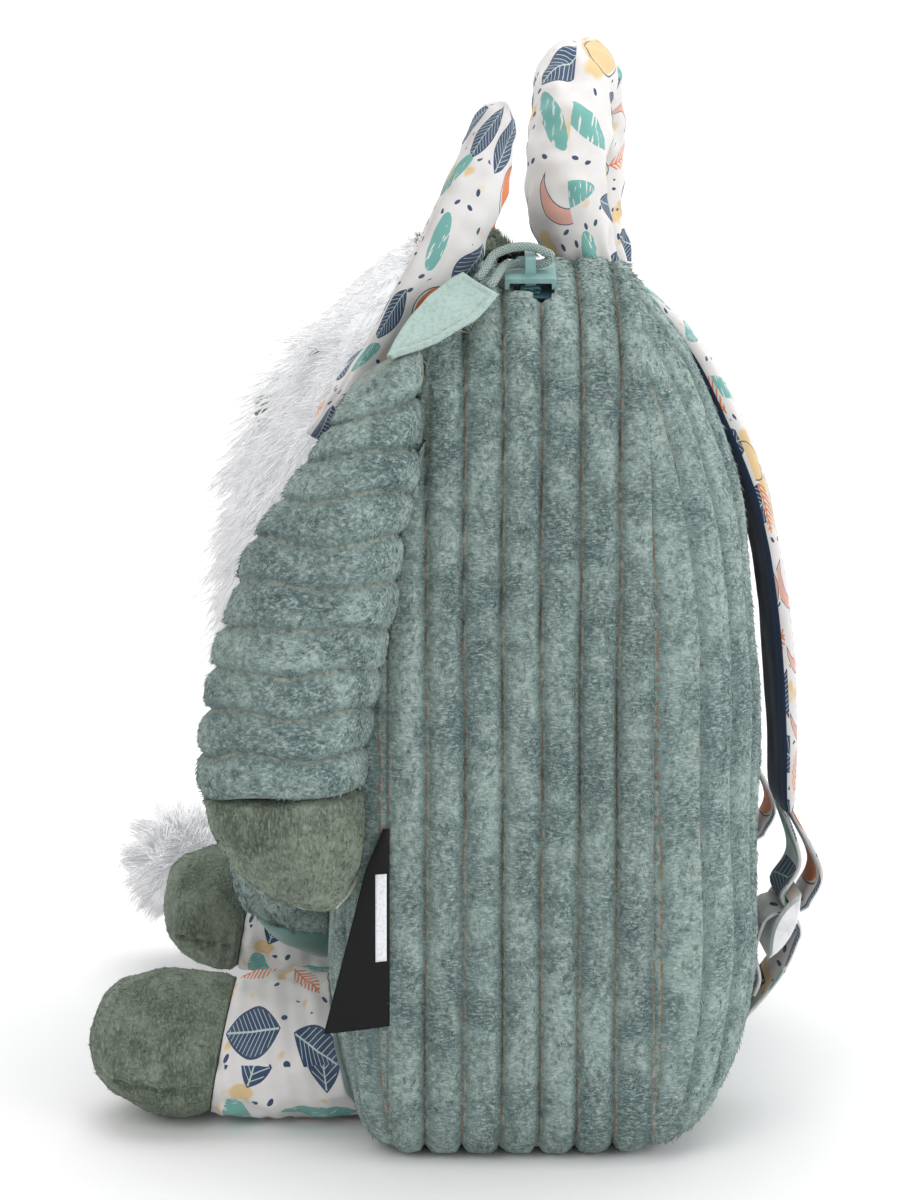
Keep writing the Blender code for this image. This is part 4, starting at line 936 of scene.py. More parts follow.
def scatter(points, count, seed, wrap=False, keep=None):
    """Seeded places on a grid sheet, by area, with the sheet's outward directions there."""
    rng = np.random.default_rng(seed)
    grid = np.concatenate((points, points[:, :1]), axis=1) if wrap else points
    a, b = grid[:-1, :-1], grid[1:, :-1]
    c, d = grid[1:, 1:], grid[:-1, 1:]
    cross = np.cross(c - a, d - b)
    area = np.linalg.norm(cross, axis=-1)
    if keep is not None:
        area = np.where(keep, area, 0.0)
    picked = rng.choice(area.size, count, p=(area / area.sum()).ravel())
    u, v = rng.uniform(size=(2, count, 1))
    a, b, c, d = (corner.reshape(-1, 3)[picked] for corner in (a, b, c, d))
    place = (1 - u) * (1 - v) * a + u * (1 - v) * b + u * v * c + (1 - u) * v * d
    normal = unit(cross.reshape(-1, 3)[picked])
    middle = points.reshape(-1, 3).mean(axis=0)
    facing = ((place - middle) * normal).sum()
    return place, normal * (1.0 if facing > 0 else -1.0), rng


def pile(name, slot, points, count, seed, material, lie=(0.0, 0.0, -1.0), side=0.6, rise=0.35,
         length=0.0023, wrap=False, keep=None, width=0.00027):
    """Short slanted tufts on a sheet: four-cornered slivers that lean along the lie.

    The lean to one side or the other changes slowly over the sheet, as brushed plush does.
    """
    place, normal, rng = scatter(points, count, seed, wrap, keep)
    lie = np.broadcast_to(np.asarray(lie, dtype=float), place.shape)
    along = unit(lie - normal * (lie * normal).sum(axis=-1, keepdims=True))
    cross = np.cross(normal, along)
    swing = np.tanh(3.0 * ripple(place, 0.016, seed + 1))[:, None] * side
    aim = unit(normal * rise + along + cross * (swing + rng.normal(size=(count, 1)) * 0.35)
               + rng.normal(size=(count, 3)) * 0.12)
    first, second = around(aim)
    size = length * rng.uniform(0.6, 1.25, (count, 1))
    root = place - normal * 0.0003
    corners = [root + width * (first * math.cos(TAU * k / 3) + second * math.sin(TAU * k / 3))
               for k in range(3)]
    corners.append(root + aim * size)
    made = solid_mesh(name, np.stack(corners, axis=1), ([(0, 1, 3), (1, 2, 3), (2, 0, 3), (2, 1, 0)],),
                      material)
    return place_piece(made, slot)


def stitches(name, slot, path, outward, step, length, radius, material, lift=0.0):
    """Thread stitches along a polyline: six-sided capsules that dip at both ends."""
    total = run_length(path)[-1]
    count = max(2, int(total / step))
    fine = evenly(path, count * 8 + 1)
    ways = unit(evenly(np.broadcast_to(outward, path.shape), count * 8 + 1))
    middles, out = fine[4::8], ways[4::8]
    along = unit(fine[8::8] - fine[:-1:8])
    out = unit(out - along * (along * out).sum(axis=-1, keepdims=True))
    cross = np.cross(along, out)
    rings = []
    for share, size, up in ((-0.5, 0.25, -0.8), (-0.36, 0.9, 0.0), (0.0, 1.0, 0.5), (0.36, 0.9, 0.0),
                            (0.5, 0.25, -0.8)):
        base = middles + along * length * share + out * (lift + radius * up)
        for k in range(6):
            turn = TAU * k / 6
            rings.append(base + radius * size * (cross * math.cos(turn) + out * math.sin(turn)))
    sides = [(6 * r + k, 6 * r + (k + 1) % 6, 6 * r + 6 + (k + 1) % 6, 6 * r + 6 + k)
             for r in range(4) for k in range(6)]
    ends = [tuple(range(5, -1, -1)), tuple(range(24, 30))]
    made = solid_mesh(name, np.stack(rings, axis=1), (sides, ends), material)
    return place_piece(fix_outward(made), slot)


# Bag front, which the limbs lie against

def front_surface(x, z):
    """Place across of the front panel's crest under a point."""
    bag = settings()
    x = np.clip(np.abs(x), 0.0, bag.width / 2 - 0.003)
    low, high = arch_foot(x, 0.0025), arch_top(x, 0.0025)
    z = np.clip(z, low, high)
    swell = (rounded(bag.width / 2 - 0.0025 - x, SIDE_RUN)
             * rounded(high - z, TOP_RUN, 2.6, 1.0) * rounded(z - low, FOOT_RUN))
    return (seam("front", z) - SEAM_GAP - bag.front_depth * swell
            - bag.rib_relief * np.minimum(1.0, 3.0 * swell))


def clear_of_bag(points, gap=0.0006):
    """Moves points that lie in the bag out of its front, or out of its side past its corner."""
    half = settings().width / 2
    moved = points.copy()
    x, y, z = (points[..., k] for k in range(3))
    front = front_surface(x, z) - gap
    inner = np.abs(x) < half - 0.004
    moved[..., 1] = np.where(inner & (y > front), front, y)
    beside = ~inner & (y > seam("front", z) - gap)
    moved[..., 0] = np.where(beside, np.sign(x) * np.maximum(np.abs(x), half + gap), x)
    return moved


# Zip

TAPE_PLAY = 0.0007
COIL_WIRE = 0.00030


def arch_path(count, x_from, x_to, depth):
    """Points evenly spaced along the arched top, a depth below it, with its outward directions."""
    x = np.linspace(x_from, x_to, 600)
    points = np.stack((x, np.full(600, SLOT_CENTRE), arch_top(x)), axis=-1)
    points = evenly(points, count)
    along = unit(np.gradient(points, axis=0))
    out = np.cross(along, Y_AXIS)
    out *= np.sign(out[:, 2:3])
    return points - out * depth, out


class BACKPACK_OT_zip(bpy.types.Operator):
    """Zip tapes, the two interleaved coils and the slider"""

    bl_idname = "backpack.zip"
    bl_label = "Zip"

    def execute(self, context):
        middle, out = arch_path(160, SLOT_ENDS[0] + 0.002, SLOT_ENDS[1] - 0.002, 0.0027)
        across = np.linspace(-1.0, 1.0, 25)
        width = SLOT_HALF - TAPE_PLAY
        sag = 0.0005 * across ** 2
        points = (middle[:, None] + Y_AXIS * (width * across)[None, :, None]
                  - out[:, None] * sag[None, :, None])
        tape = sheet_mesh("zip_tape", points, look=look("tape"), centre=(0.0, 0.0, 0.1))
        thicken(tape, 0.0007)
        place_piece(tape, "zip_tape", "zip_chain")
        turns, per_turn = 150, 10
        for word, sign in SIDES:
            line, away = arch_path(turns * per_turn, SLOT_ENDS[0] + 0.004, SLOT_ENDS[1] - 0.003,
                                   0.0014)
            turn = TAU * np.arange(len(line)) / per_turn + (0.0 if sign > 0 else math.pi)
            path = (line + Y_AXIS * (sign * 0.0011 + 0.0017 * np.cos(turn))[:, None]
                    + away * (0.0007 * np.sin(turn))[:, None])
            coil = sheet_mesh("zip_coil_" + word, carried(path, away, COIL_WIRE, COIL_WIRE, 5),
                              wrap=True, ends=True, look=look("tape"), centre=(0.0, 0.0, 0.1))
            fix_outward(coil)
            place_piece(coil, "zip_tape")
        refinish("zip_slider", look("moulding"))
        return {"FINISHED"}


# Pull cord and leaf tab

CORD_DIAMETER = 0.0026
CORD_ROUTE = ((0.08503, -0.01246, 0.25304), (0.08463, -0.01143, 0.25384), (0.08264, -0.00996, 0.25613),
              (0.0794, -0.00775, 0.25963), (0.07829, -0.00418, 0.26144), (0.07765, -0.00036, 0.26221),
              (0.07716, 0.00325, 0.26207), (0.07673, 0.00625, 0.2611), (0.07641, 0.00807, 0.26024),
              (0.07613, 0.00855, 0.25957), (0.07559, 0.00778, 0.25825), (0.07528, 0.00574, 0.2575),
              (0.07526, 0.00275, 0.25744), (0.07506, 0.00006, 0.2575), (0.07574, -0.00258, 0.25733),
              (0.07792, -0.00505, 0.25656), (0.08376, -0.00681, 0.2538), (0.08705, -0.00815, 0.25181),
              (0.08718, -0.00922, 0.25094))
TAB_ROOT = np.array((0.08654, -0.01145, 0.25149))
TAB_ALONG = np.array((0.48753, -0.67888, -0.54903))
TAB_ACROSS = np.array((0.48603, 0.73341, -0.47527))
TAB_FACING = np.array((0.72532, -0.03513, 0.68752))
TAB_LENGTH = 0.037
TAB_WIDTH = 0.0165
TAB_SHAPE = np.array(((0.0, 0.40, 0.42), (0.15, 0.46, 0.50), (0.35, 0.44, 0.54), (0.60, 0.34, 0.46),
                      (0.80, 0.22, 0.30), (0.94, 0.11, 0.14), (1.0, 0.03, 0.03)))


def cord_look():
    """Round braid: two families of slanted strands, painted shade where they sink, light flecks on the
    higher one.
    """
    work = Shading("braided_cord", 0.8, 0.3, 0.2)
    c = bpy.context.scene.backpack_colours
    cloth = work.cloth_place()
    parts = work.add("ShaderNodeSeparateXYZ", {"Vector": cloth})
    girth, down = parts.outputs[0], parts.outputs[1]
    left = work.sum("SINE", work.times(work.plus(girth, down), TAU / 0.00102))
    right = work.sum("SINE", work.times(work.minus(girth, down), TAU / 0.00102))
    cross = work.sum("MAXIMUM", left, right)
    # painted shade: the mint darkens where the braid's strands sink, by the same waves that set the bump
    dark = tuple(0.55 * v for v in c.mint)
    tone = work.blend(work.span(cross, -0.2, 0.9), dark, tuple(c.mint))
    tone = work.blend(work.span(work.times(left, right), 0.72, 0.9, 0.0, 0.7), tone,
                      (0.75, 0.83, 0.80))
    work.bump(cross, 0.00025)
    return work.colour(tone)


class BACKPACK_OT_cord(bpy.types.Operator):
    """The braided cord from the leaf tab over and through the slider's bridge"""

    bl_idname = "backpack.cord"
    bl_label = "Pull cord"

    def execute(self, context):
        path = evenly(flowing(CORD_ROUTE, 400), 220)
        rings = carried(path, (1.0, 0.2, 0.1), 0.0, 0.0, 24)
        shape = carried(path, (1.0, 0.2, 0.1), 0.5, 0.5, 24) - rings
        run = run_length(path)[:, None]
        turn = turn_steps(24)[None]
        braid = np.maximum(np.sin(4 * turn + run * TAU / 0.0021), np.sin(4 * turn - run * TAU / 0.0021))
        radius = CORD_DIAMETER * (0.93 + 0.06 * braid)
        cloth = (run[:, 0], np.linspace(0.0, math.pi * CORD_DIAMETER, 25))
        cord = closed_form("pull_cord_braid", rings + shape * radius[..., None], cord_look(), cloth)
        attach(cord, "root")
        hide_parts("pull_cord")
        return {"FINISHED"}


class BACKPACK_OT_tab(bpy.types.Operator):
    """The leaf pull tab: two cotton layers, a stitched hem, raw threads at its lower edge"""

    bl_idname = "backpack.tab"
    bl_label = "Leaf pull tab"

    def execute(self, context):
        share, t = np.linspace(0.0, 1.0, 70), np.linspace(0.0, 1.0, 44)
        shape = np.stack([np.interp(share, TAB_SHAPE[:, 0], TAB_SHAPE[:, k]) for k in (1, 2)], -1)
        shape = np.stack([smoothed(shape[:, k], 9) for k in (0, 1)], axis=-1)
        place = (-shape[:, :1] + (shape[:, :1] + shape[:, 1:]) * t) * TAB_WIDTH
        width = shape.sum(axis=1) * TAB_WIDTH
        edge = np.minimum(np.minimum(t[None] * width[:, None], (1 - t)[None] * width[:, None]),
                          share[:, None] * TAB_LENGTH)
        base = (TAB_ROOT + TAB_ALONG * (share * TAB_LENGTH)[:, None, None]
                + TAB_ACROSS * place[..., None])
        hem = np.exp(-((edge - 0.0012) / 0.0008) ** 2) - np.exp(-((edge - 0.0026) / 0.0005) ** 2)
        fall = np.exp(-(edge / 0.0004) ** 2)
        height = (0.0010 + 0.00030 * hem - 0.00050 * fall + 0.00025 * ripple(base, 0.012, 31)
                  + 0.0006 * np.sin(math.pi * share)[:, None])
        points = base + TAB_FACING * height[..., None]
        leaf = sheet_mesh("leaf_tab", points, look=look("mint"), centre=TAB_ROOT - TAB_FACING * 0.3)
        thicken(leaf, 0.0016)
        place_piece(leaf, "mint", "pull_tab")
        inner = 0.0026 / np.maximum(width, 0.0027)
        rows = np.arange(5, 60)
        columns = np.clip(((1.0 - inner[rows]) * 43).astype(int), 0, 43)
        line = points[rows, columns]
        stitches("leaf_stitches", "mint", line, TAB_FACING, 0.0026, 0.0019, 0.00022, look("thread"))
        rng = np.random.default_rng(8)
        ends = points[rng.integers(20, 62, 26), 43]
        aims = unit(TAB_ACROSS + 0.7 * rng.normal(size=(26, 3)))
        frayed = hairs("leaf_threads", ends, aims, 0.4 * rng.normal(size=(26, 3)),
                       rng.uniform(0.0008, 0.0024, 26), 0.00008, look("thread"))
        place_piece(frayed, "mint")
        return {"FINISHED"}


# Handle and ears

HANDLE_DIAMETER = 0.025
HANDLE_Y = 0.02105
HANDLE_TOP = 0.33
HANDLE_HALF_SPAN = 0.03075
HANDLE_TWIST = 0.00475
HANDLE_BOW = 0.006
HANDLE_ARCH = np.array(((0.97, 0.0, 0.9, 0.74), (1.0, 0.18, 0.3, 0.90), (1.02, 0.40, -0.2, 1.0),
                        (0.93, 0.68, -0.1, 1.0), (0.66, 0.89, 0.0, 1.0), (0.33, 0.98, 0.0, 0.98),
                        (0.0, 1.0, 0.0, 0.97)))


class BACKPACK_OT_handle(bpy.types.Operator):
    """The stuffed loop of printed cotton, seamed along its outer line and puckered there"""

    bl_idname = "backpack.handle"
    bl_label = "Carrying loop"

    def execute(self, context):
        left = HANDLE_ARCH[:-1] * (-1.0, 1.0, 1.0, 1.0)
        arch = np.vstack((HANDLE_ARCH, left[::-1]))
        foot, top = settings().height - 0.25 * HANDLE_DIAMETER, HANDLE_TOP - HANDLE_DIAMETER / 2
        knots = np.stack((arch[:, 0] * HANDLE_HALF_SPAN, HANDLE_Y + HANDLE_BOW * arch[:, 2]
                          - arch[:, 0] * HANDLE_TWIST, foot + (top - foot) * arch[:, 1]), axis=-1)
        path = flowing(knots, 150)
        thick = np.interp(np.linspace(0, 1, 150), np.linspace(0, 1, len(arch)), arch[:, 3])
        half = HANDLE_DIAMETER / 2 * thick * 0.985
        rings = carried(path, Y_AXIS, half, half, 72)
        run = run_length(path)
        turn = turn_steps(72)
        away = unit(rings - path[:, None])
        inward = unit(path.mean(axis=0) - path)
        facing = (away * inward[:, None]).sum(axis=-1)
        outer = np.arccos(np.clip(-facing, -1, 1))
        close = np.exp(-(outer / 0.13) ** 2)
        pucker = (np.sin(run * TAU / 0.0062)[:, None] * np.exp(-(outer / 0.60) ** 2) * 0.00050)
        feet = np.exp(-(np.minimum(run, run[-1] - run) / 0.014) ** 2)[:, None]
        folds = feet * 0.0009 * np.sin(turn * 9 + 1.3)[None]
        slack = 0.0006 * ripple(rings, 0.020, 41) + 0.0004 * ripple(rings, 0.009, 42)
        rings = rings + away * (pucker + slack + folds - 0.0027 * close)[..., None]
        around_cloth = turn_cloth(72, HANDLE_DIAMETER / 2)
        other = np.where((np.arange(72) >= 18) & (np.arange(72) < 54), 0.047, 0.0)
        cloth = (run, np.stack((around_cloth[:-1] + other, around_cloth[1:] + other)))
        loop = closed_form("carrying_loop", rings, look("print"), cloth)
        seams = np.flatnonzero((outer < 0.14).ravel())
        plump(loop, np.concatenate((seams, np.arange(144), np.arange(148 * 72, 150 * 72))), 4.0, 0.0006)
        place_piece(loop, "print", "handle", fill=0.7)
        return {"FINISHED"}


def turn_cloth(sides, radius):
    """Cloth lengths round a tube of a mean radius."""
    return TAU * radius * np.linspace(0.0, 1.0, sides + 1)


EAR_ROOT = np.array((0.06192, -0.059, 0.20807))
EAR_REACH = np.array((0.0080, 0.0560, 0.0975))
EAR_CUP = 0.009
EAR_BOW = 0.009
EAR_WIDTH = 0.038
EAR_THICKNESS = 0.013
EAR_PETAL = np.array(((0.0, 0.30, 0.62), (0.10, 0.52, 0.90), (0.25, 0.82, 1.0), (0.45, 1.0, 1.05),
                      (0.62, 1.0, 1.15), (0.78, 0.92, 1.25), (0.90, 0.74, 1.10), (0.97, 0.46, 0.75),
                      (1.0, 0.03, 0.06)))


class BACKPACK_OT_ears(bpy.types.Operator):
    """Two stuffed petal ears, cupped to the front, in print with a piped rim"""

    bl_idname = "backpack.ears"
    bl_label = "Ears"

    def execute(self, context):
        for word, side in SIDES:
            root = EAR_ROOT * (side, 1.0, 1.0)
            tip = root + EAR_REACH * (side, 1.0, 1.0)
            along = unit(tip - root)
            rear = unit(Y_AXIS - along * (along @ Y_AXIS))
            right = np.cross(along, rear)
            length = np.linalg.norm(tip - root) * 0.975
            s = np.sin(np.linspace(0.0, 1.0, 110) * math.pi / 2)
            wide, thick = (np.interp(s, EAR_PETAL[:, 0], EAR_PETAL[:, k]) for k in (1, 2))
            wide = smoothed(wide, 9)
            turn = turn_steps(56)
            c = bent(np.cos(turn), 0.9)
            x = EAR_WIDTH / 2 * wide[:, None] * c
            depth = EAR_THICKNESS / 2 * thick[:, None] * np.sin(turn)
            cup = EAR_CUP * wide[:, None] * (x / (EAR_WIDTH / 2)) ** 2
            bow = EAR_BOW * np.sin(math.pi * s)[:, None]
            points = (root + along * (length * s)[:, None, None] + right * x[..., None]
                      + rear * (depth + bow - cup)[..., None])
            away = unit(points - points.mean(axis=1, keepdims=True))
            rim = np.exp(-((np.abs(c) - 0.86) / 0.06) ** 2)
            slack = 0.0007 * ripple(points, 0.022, 51) + 0.0004 * ripple(points, 0.008, 52)
            points = points + away * (slack - 0.0010 * rim[None] * wide[:, None])[..., None]
            cloth = (length * s, turn_cloth(56, 0.0155))
            ear = closed_form("ear_petal_" + word, points, look("print_small"), cloth)
            rows = np.arange(56)
            plump(ear, np.concatenate((rows, rows + 108 * 56, rows + 109 * 56)), 3.0, 0.0005)
            place_piece(ear, "print", "ear_" + word, fill=0.6)
            rim_line = points[4:-6, 0 if side > 0 else 28]
            path = evenly(rim_line + unit(rim_line - points[4:-6].mean(axis=1)) * 0.0002, 90)
            piping = closed_form("ear_rim_" + word, carried(path, rear, 0.0007, 0.0007, 8),
                                 look("olive"))
            place_piece(piping, "print")
        return {"FINISHED"}


# Head

HEAD_CENTRE = np.array((0.0, -0.040, 0.19807))
HEAD_RADII = np.array((0.072, 0.039, 0.080))
HEAD_TURN = np.array(Matrix.Rotation(math.radians(-25.0), 3, "X"))
FACE_BACK_Y = -0.0306
CROWN_FRONT_Y = -0.0296
CROWN_FOOT_Z = 0.2490
FUR_BACK_Y = -0.0345
FUR_TOP_BACK_Y = -0.0240
FUR_TOP_Z = 0.255
EYE_RADIUS = 0.0050
NOSE_RADII = np.array((0.0110, 0.0070, 0.0078))
NOSE_CLEARING = 0.0095
FACE_TUFTS = 520
WISPS = 420


def ball(rows, columns, radii, centre, turn=np.eye(3), axis=2):
    """An ellipsoid as rings: centre + turn * (radii * unit direction)."""
    polar = np.linspace(0.03, math.pi - 0.03, rows)[:, None]
    round_ = turn_steps(columns)[None]
    flat = np.stack((np.sin(polar) * np.cos(round_), np.sin(polar) * np.sin(round_),
                     np.cos(polar) + 0 * round_), axis=-1)
    flat = np.roll(flat, axis - 2, axis=-1)
    return centre + (flat * radii) @ turn.T


def cut_ball(rows, columns, radii, centre, inside, planes, turn=np.eye(3)):
    """An ellipsoid cut by planes, as rings round an inner point.

    Point = inside + t * direction, with t the nearest of the ellipsoid's and the planes' hits;
    a plane is (outward direction, distance from the origin).
    """
    unit_ball = ball(rows, columns, np.ones(3), np.zeros(3))
    local = (unit_ball @ turn) / radii
    start = ((inside - centre) @ turn) / radii
    a = (local ** 2).sum(axis=-1)
    b = (local * start).sum(axis=-1)
    t = (-b + np.sqrt(b * b - a * ((start ** 2).sum() - 1.0))) / a
    for way, distance in planes:
        rate = unit_ball @ np.asarray(way)
        reach = (distance - np.dot(inside, way)) / np.maximum(rate, 1e-9)
        t = np.where(rate > 1e-9, np.minimum(t, reach), t)
    return inside + unit_ball * t[..., None]


class BACKPACK_OT_head(bpy.types.Operator):
    """The furred face, its beads and nose, and the olive plush back of the head"""

    bl_idname = "backpack.head"
    bl_label = "Head"

    def execute(self, context):
        coat = context.scene.backpack_coat
        size = HEAD_RADII * 0.985
        face = cut_ball(54, 72, size, HEAD_CENTRE, HEAD_CENTRE - (0.0, 0.012, 0.0),
                        ((Y_AXIS, FACE_BACK_Y),), HEAD_TURN)
        base = closed_form("fur_backing", clear_of_bag(face, 0.0012), look("fur"))
        place_piece(base, "fur", "head_face", fill=0.8)
        roots, normal = face_roots(coat)
        down = unit(np.array((0.0, -0.10, -1.0)) + roots * (4.0, 0.0, 0.0))
        down = unit(down - normal * (down * normal).sum(axis=-1, keepdims=True))
        comb_face(coat, roots, normal, down)
        add_wisps(coat, roots, normal, down)
        back = cut_ball(54, 72, size, HEAD_CENTRE, np.array((0.0, -0.018, 0.255)),
                        ((-Y_AXIS, -CROWN_FRONT_Y), (-Z_AXIS, -CROWN_FOOT_Z)), HEAD_TURN)
        back = dented(back, HEAD_CENTRE, 0.0006, 0.016, 63)
        rest = arch_top(back[..., 0]) + 0.0012
        over = back[..., 1] > front_surface(back[..., 0], back[..., 2]) - 0.0006
        back[..., 2] = np.where(over, np.maximum(back[..., 2], rest), back[..., 2])
        cap = closed_form("olive_crown", back, look("olive"))
        place_piece(cap, "olive_plush", "head_back", fill=0.8)
        pile("olive_crown_pile", "olive_plush", back, 5000, 64, look("olive"), (0.0, 0.3, 0.6), 0.8,
             0.8, 0.0032, wrap=True)
        for word, spot in zip(("near", "far"), EYES):
            bead = closed_form("eye_bead_" + word, ball(24, 32, np.full(3, EYE_RADIUS), spot, axis=1),
                               look("bead"))
            place_piece(bead, "black_plastic", "eye_" + word)
        nose = dented(ball(30, 40, NOSE_RADII, NOSE, axis=1), NOSE, 0.0003, 0.008, 66)
        place_piece(closed_form("plush_nose", nose, look("olive")), "olive_plush", "nose", fill=0.8)
        pile("nose_pile", "olive_plush", nose, 1000, 67, look("olive"), (0.0, -0.4, 0.7), 0.5, 0.5,
             0.0014, wrap=True)
        return {"FINISHED"}


def face_roots(coat):
    """The hairs' roots on the face, clear of the bag, the nose and the eyes, and the ways out."""
    sphere = spiral_directions(coat.hair_count * 2)
    roots = HEAD_CENTRE + (sphere * HEAD_RADII * 0.975) @ HEAD_TURN.T
    normal = unit((sphere / HEAD_RADII) @ HEAD_TURN.T)
    kept = roots[:, 1] < np.where(roots[:, 2] > FUR_TOP_Z, FUR_TOP_BACK_Y, FUR_BACK_Y)
    kept &= roots[:, 1] < front_surface(roots[:, 0], roots[:, 2]) - 0.002
    for spot, radius in ((NOSE, NOSE_CLEARING), (EYES[0], EYE_RADIUS), (EYES[1], EYE_RADIUS)):
        kept &= np.linalg.norm(roots - spot, axis=-1) > radius
    return roots[kept][:coat.hair_count], normal[kept][:coat.hair_count]


def comb_face(coat, roots, normal, down):
    """Hairs that fall down and gather in tufts, longer toward the chin and beside the nose."""
    rng = np.random.default_rng(61)
    low = np.clip((0.250 - roots[:, 2]) / 0.12, 0.0, 1.0)
    tufts = roots[rng.choice(len(roots), FACE_TUFTS, replace=False)]
    near = ((roots[:, None] - tufts[None]) ** 2).sum(axis=-1).argmin(axis=1)
    swing = rng.normal(size=(FACE_TUFTS, 3))[near] * 0.30
    aims = unit(normal * 0.70 + down * 0.80 + swing + rng.normal(size=roots.shape) * 0.10)
    gather = (tufts[near] - roots) * 22.0
    length = coat.hair_length * (0.26 + 0.62 * low) * rng.uniform(0.6, 1.1, len(roots))
    by_eye = np.minimum(*(np.linalg.norm(roots - spot, axis=-1) for spot in EYES))
    length = np.where(by_eye < 0.012, np.maximum(length, 0.0120), length)
    by_nose = np.linalg.norm(roots - NOSE, axis=-1)
    beside = (by_nose < 0.022) & (np.abs(roots[:, 0]) > 0.0070)
    outside = (by_eye < 0.014) & (np.abs(roots[:, 0]) > abs(EYES[0][0]) + 0.003)
    length = np.where(beside | outside, np.maximum(length, 0.0190), length)
    length *= np.where(np.abs(roots[:, 0]) > 0.062, 0.7, 1.0)
    bends = gather + np.array((0.0, 0.0, -0.30)) + rng.normal(size=roots.shape) * 0.12
    fur = hairs("face_fur", roots, aims, bends, length, coat.hair_width, look("fur"))
    place_piece(fur, "fur")


def add_wisps(coat, roots, normal, down):
    """A few long thin hairs that stand out of the fur."""
    rng = np.random.default_rng(68)
    loose = rng.choice(len(roots), WISPS, replace=False)
    aims = unit(normal[loose] * 0.9 + down[loose] * 0.5 + rng.normal(size=(WISPS, 3)) * 0.35)
    wisps = hairs("face_wisps", roots[loose], aims, rng.normal(size=(WISPS, 3)) * 0.35,
                  coat.hair_length * rng.uniform(0.85, 1.20, WISPS), 0.00012, look("fur"))
    place_piece(wisps, "fur")


def on_head(azimuth, height, standoff):
    """A point on the head at an azimuth from the front and a height share, plus a standoff."""
    flat = math.sqrt(1.0 - height * height)
    way = np.array((flat * math.sin(azimuth), -flat * math.cos(azimuth), height))
    place = HEAD_CENTRE + HEAD_TURN @ (way * HEAD_RADII)
    return place + unit(HEAD_TURN @ (way / HEAD_RADII)) * standoff


NOSE = on_head(0.0, -0.02, -0.0005)
EYES = tuple(on_head(math.radians(turn), 0.30, -0.0026) for turn in (24.0, -24.0))


# Arms

ARM_LINE = np.array(((0.0, -1.0, 0.40), (0.10, -0.88, 0.56), (0.20, -0.72, 0.74), (0.33, -0.46, 0.91),
                     (0.46, -0.26, 1.0), (0.60, -0.10, 1.0), (0.72, -0.02, 0.99), (0.78, 0.0, 0.98),
                     (0.855, -0.05, 0.93), (0.93, -0.15, 0.76), (0.98, -0.26, 0.46),
                     (1.0, -0.36, 0.16)))
ARM_CUFF = 0.780
ARM_X = 0.0985
ARM_TOP = 0.229
ARM_LENGTH = 0.152
ARM_HALF_THICK = 0.0175
ARM_HALF_WIDE = 0.0230
ARM_CENTRE_Y = -0.0674
ARM_SWEEP = 0.029
SLEEVE_RIBS = 10


def arm_rings(side, start, stop, rows, columns, relief):
    """Flat rings down an arm: centre swept along a table, ovals of its width, plus a relief."""
    s = np.linspace(start, stop, rows)
    sweep, wide = (smoothed(np.interp(s, ARM_LINE[:, 0], ARM_LINE[:, k]), 7) for k in (1, 2))
    turn = turn_steps(columns)
    c = bent(np.cos(turn), 0.9)
    t = bent(np.sin(turn), 0.9)
    out_x = ARM_HALF_THICK * wide[:, None] ** 0.7 + relief
    out_y = ARM_HALF_WIDE * wide[:, None] + relief
    centre_y = ARM_CENTRE_Y - sweep * ARM_SWEEP
    tilt = 0.50 * np.clip(1.0 - s / 0.30, 0.0, 1.0) ** 1.5
    z = (ARM_TOP - ARM_LENGTH * s)[:, None] + tilt[:, None] * out_y * t
    return np.stack((side * ARM_X + out_x * c, centre_y[:, None] + out_y * t, z), axis=-1)


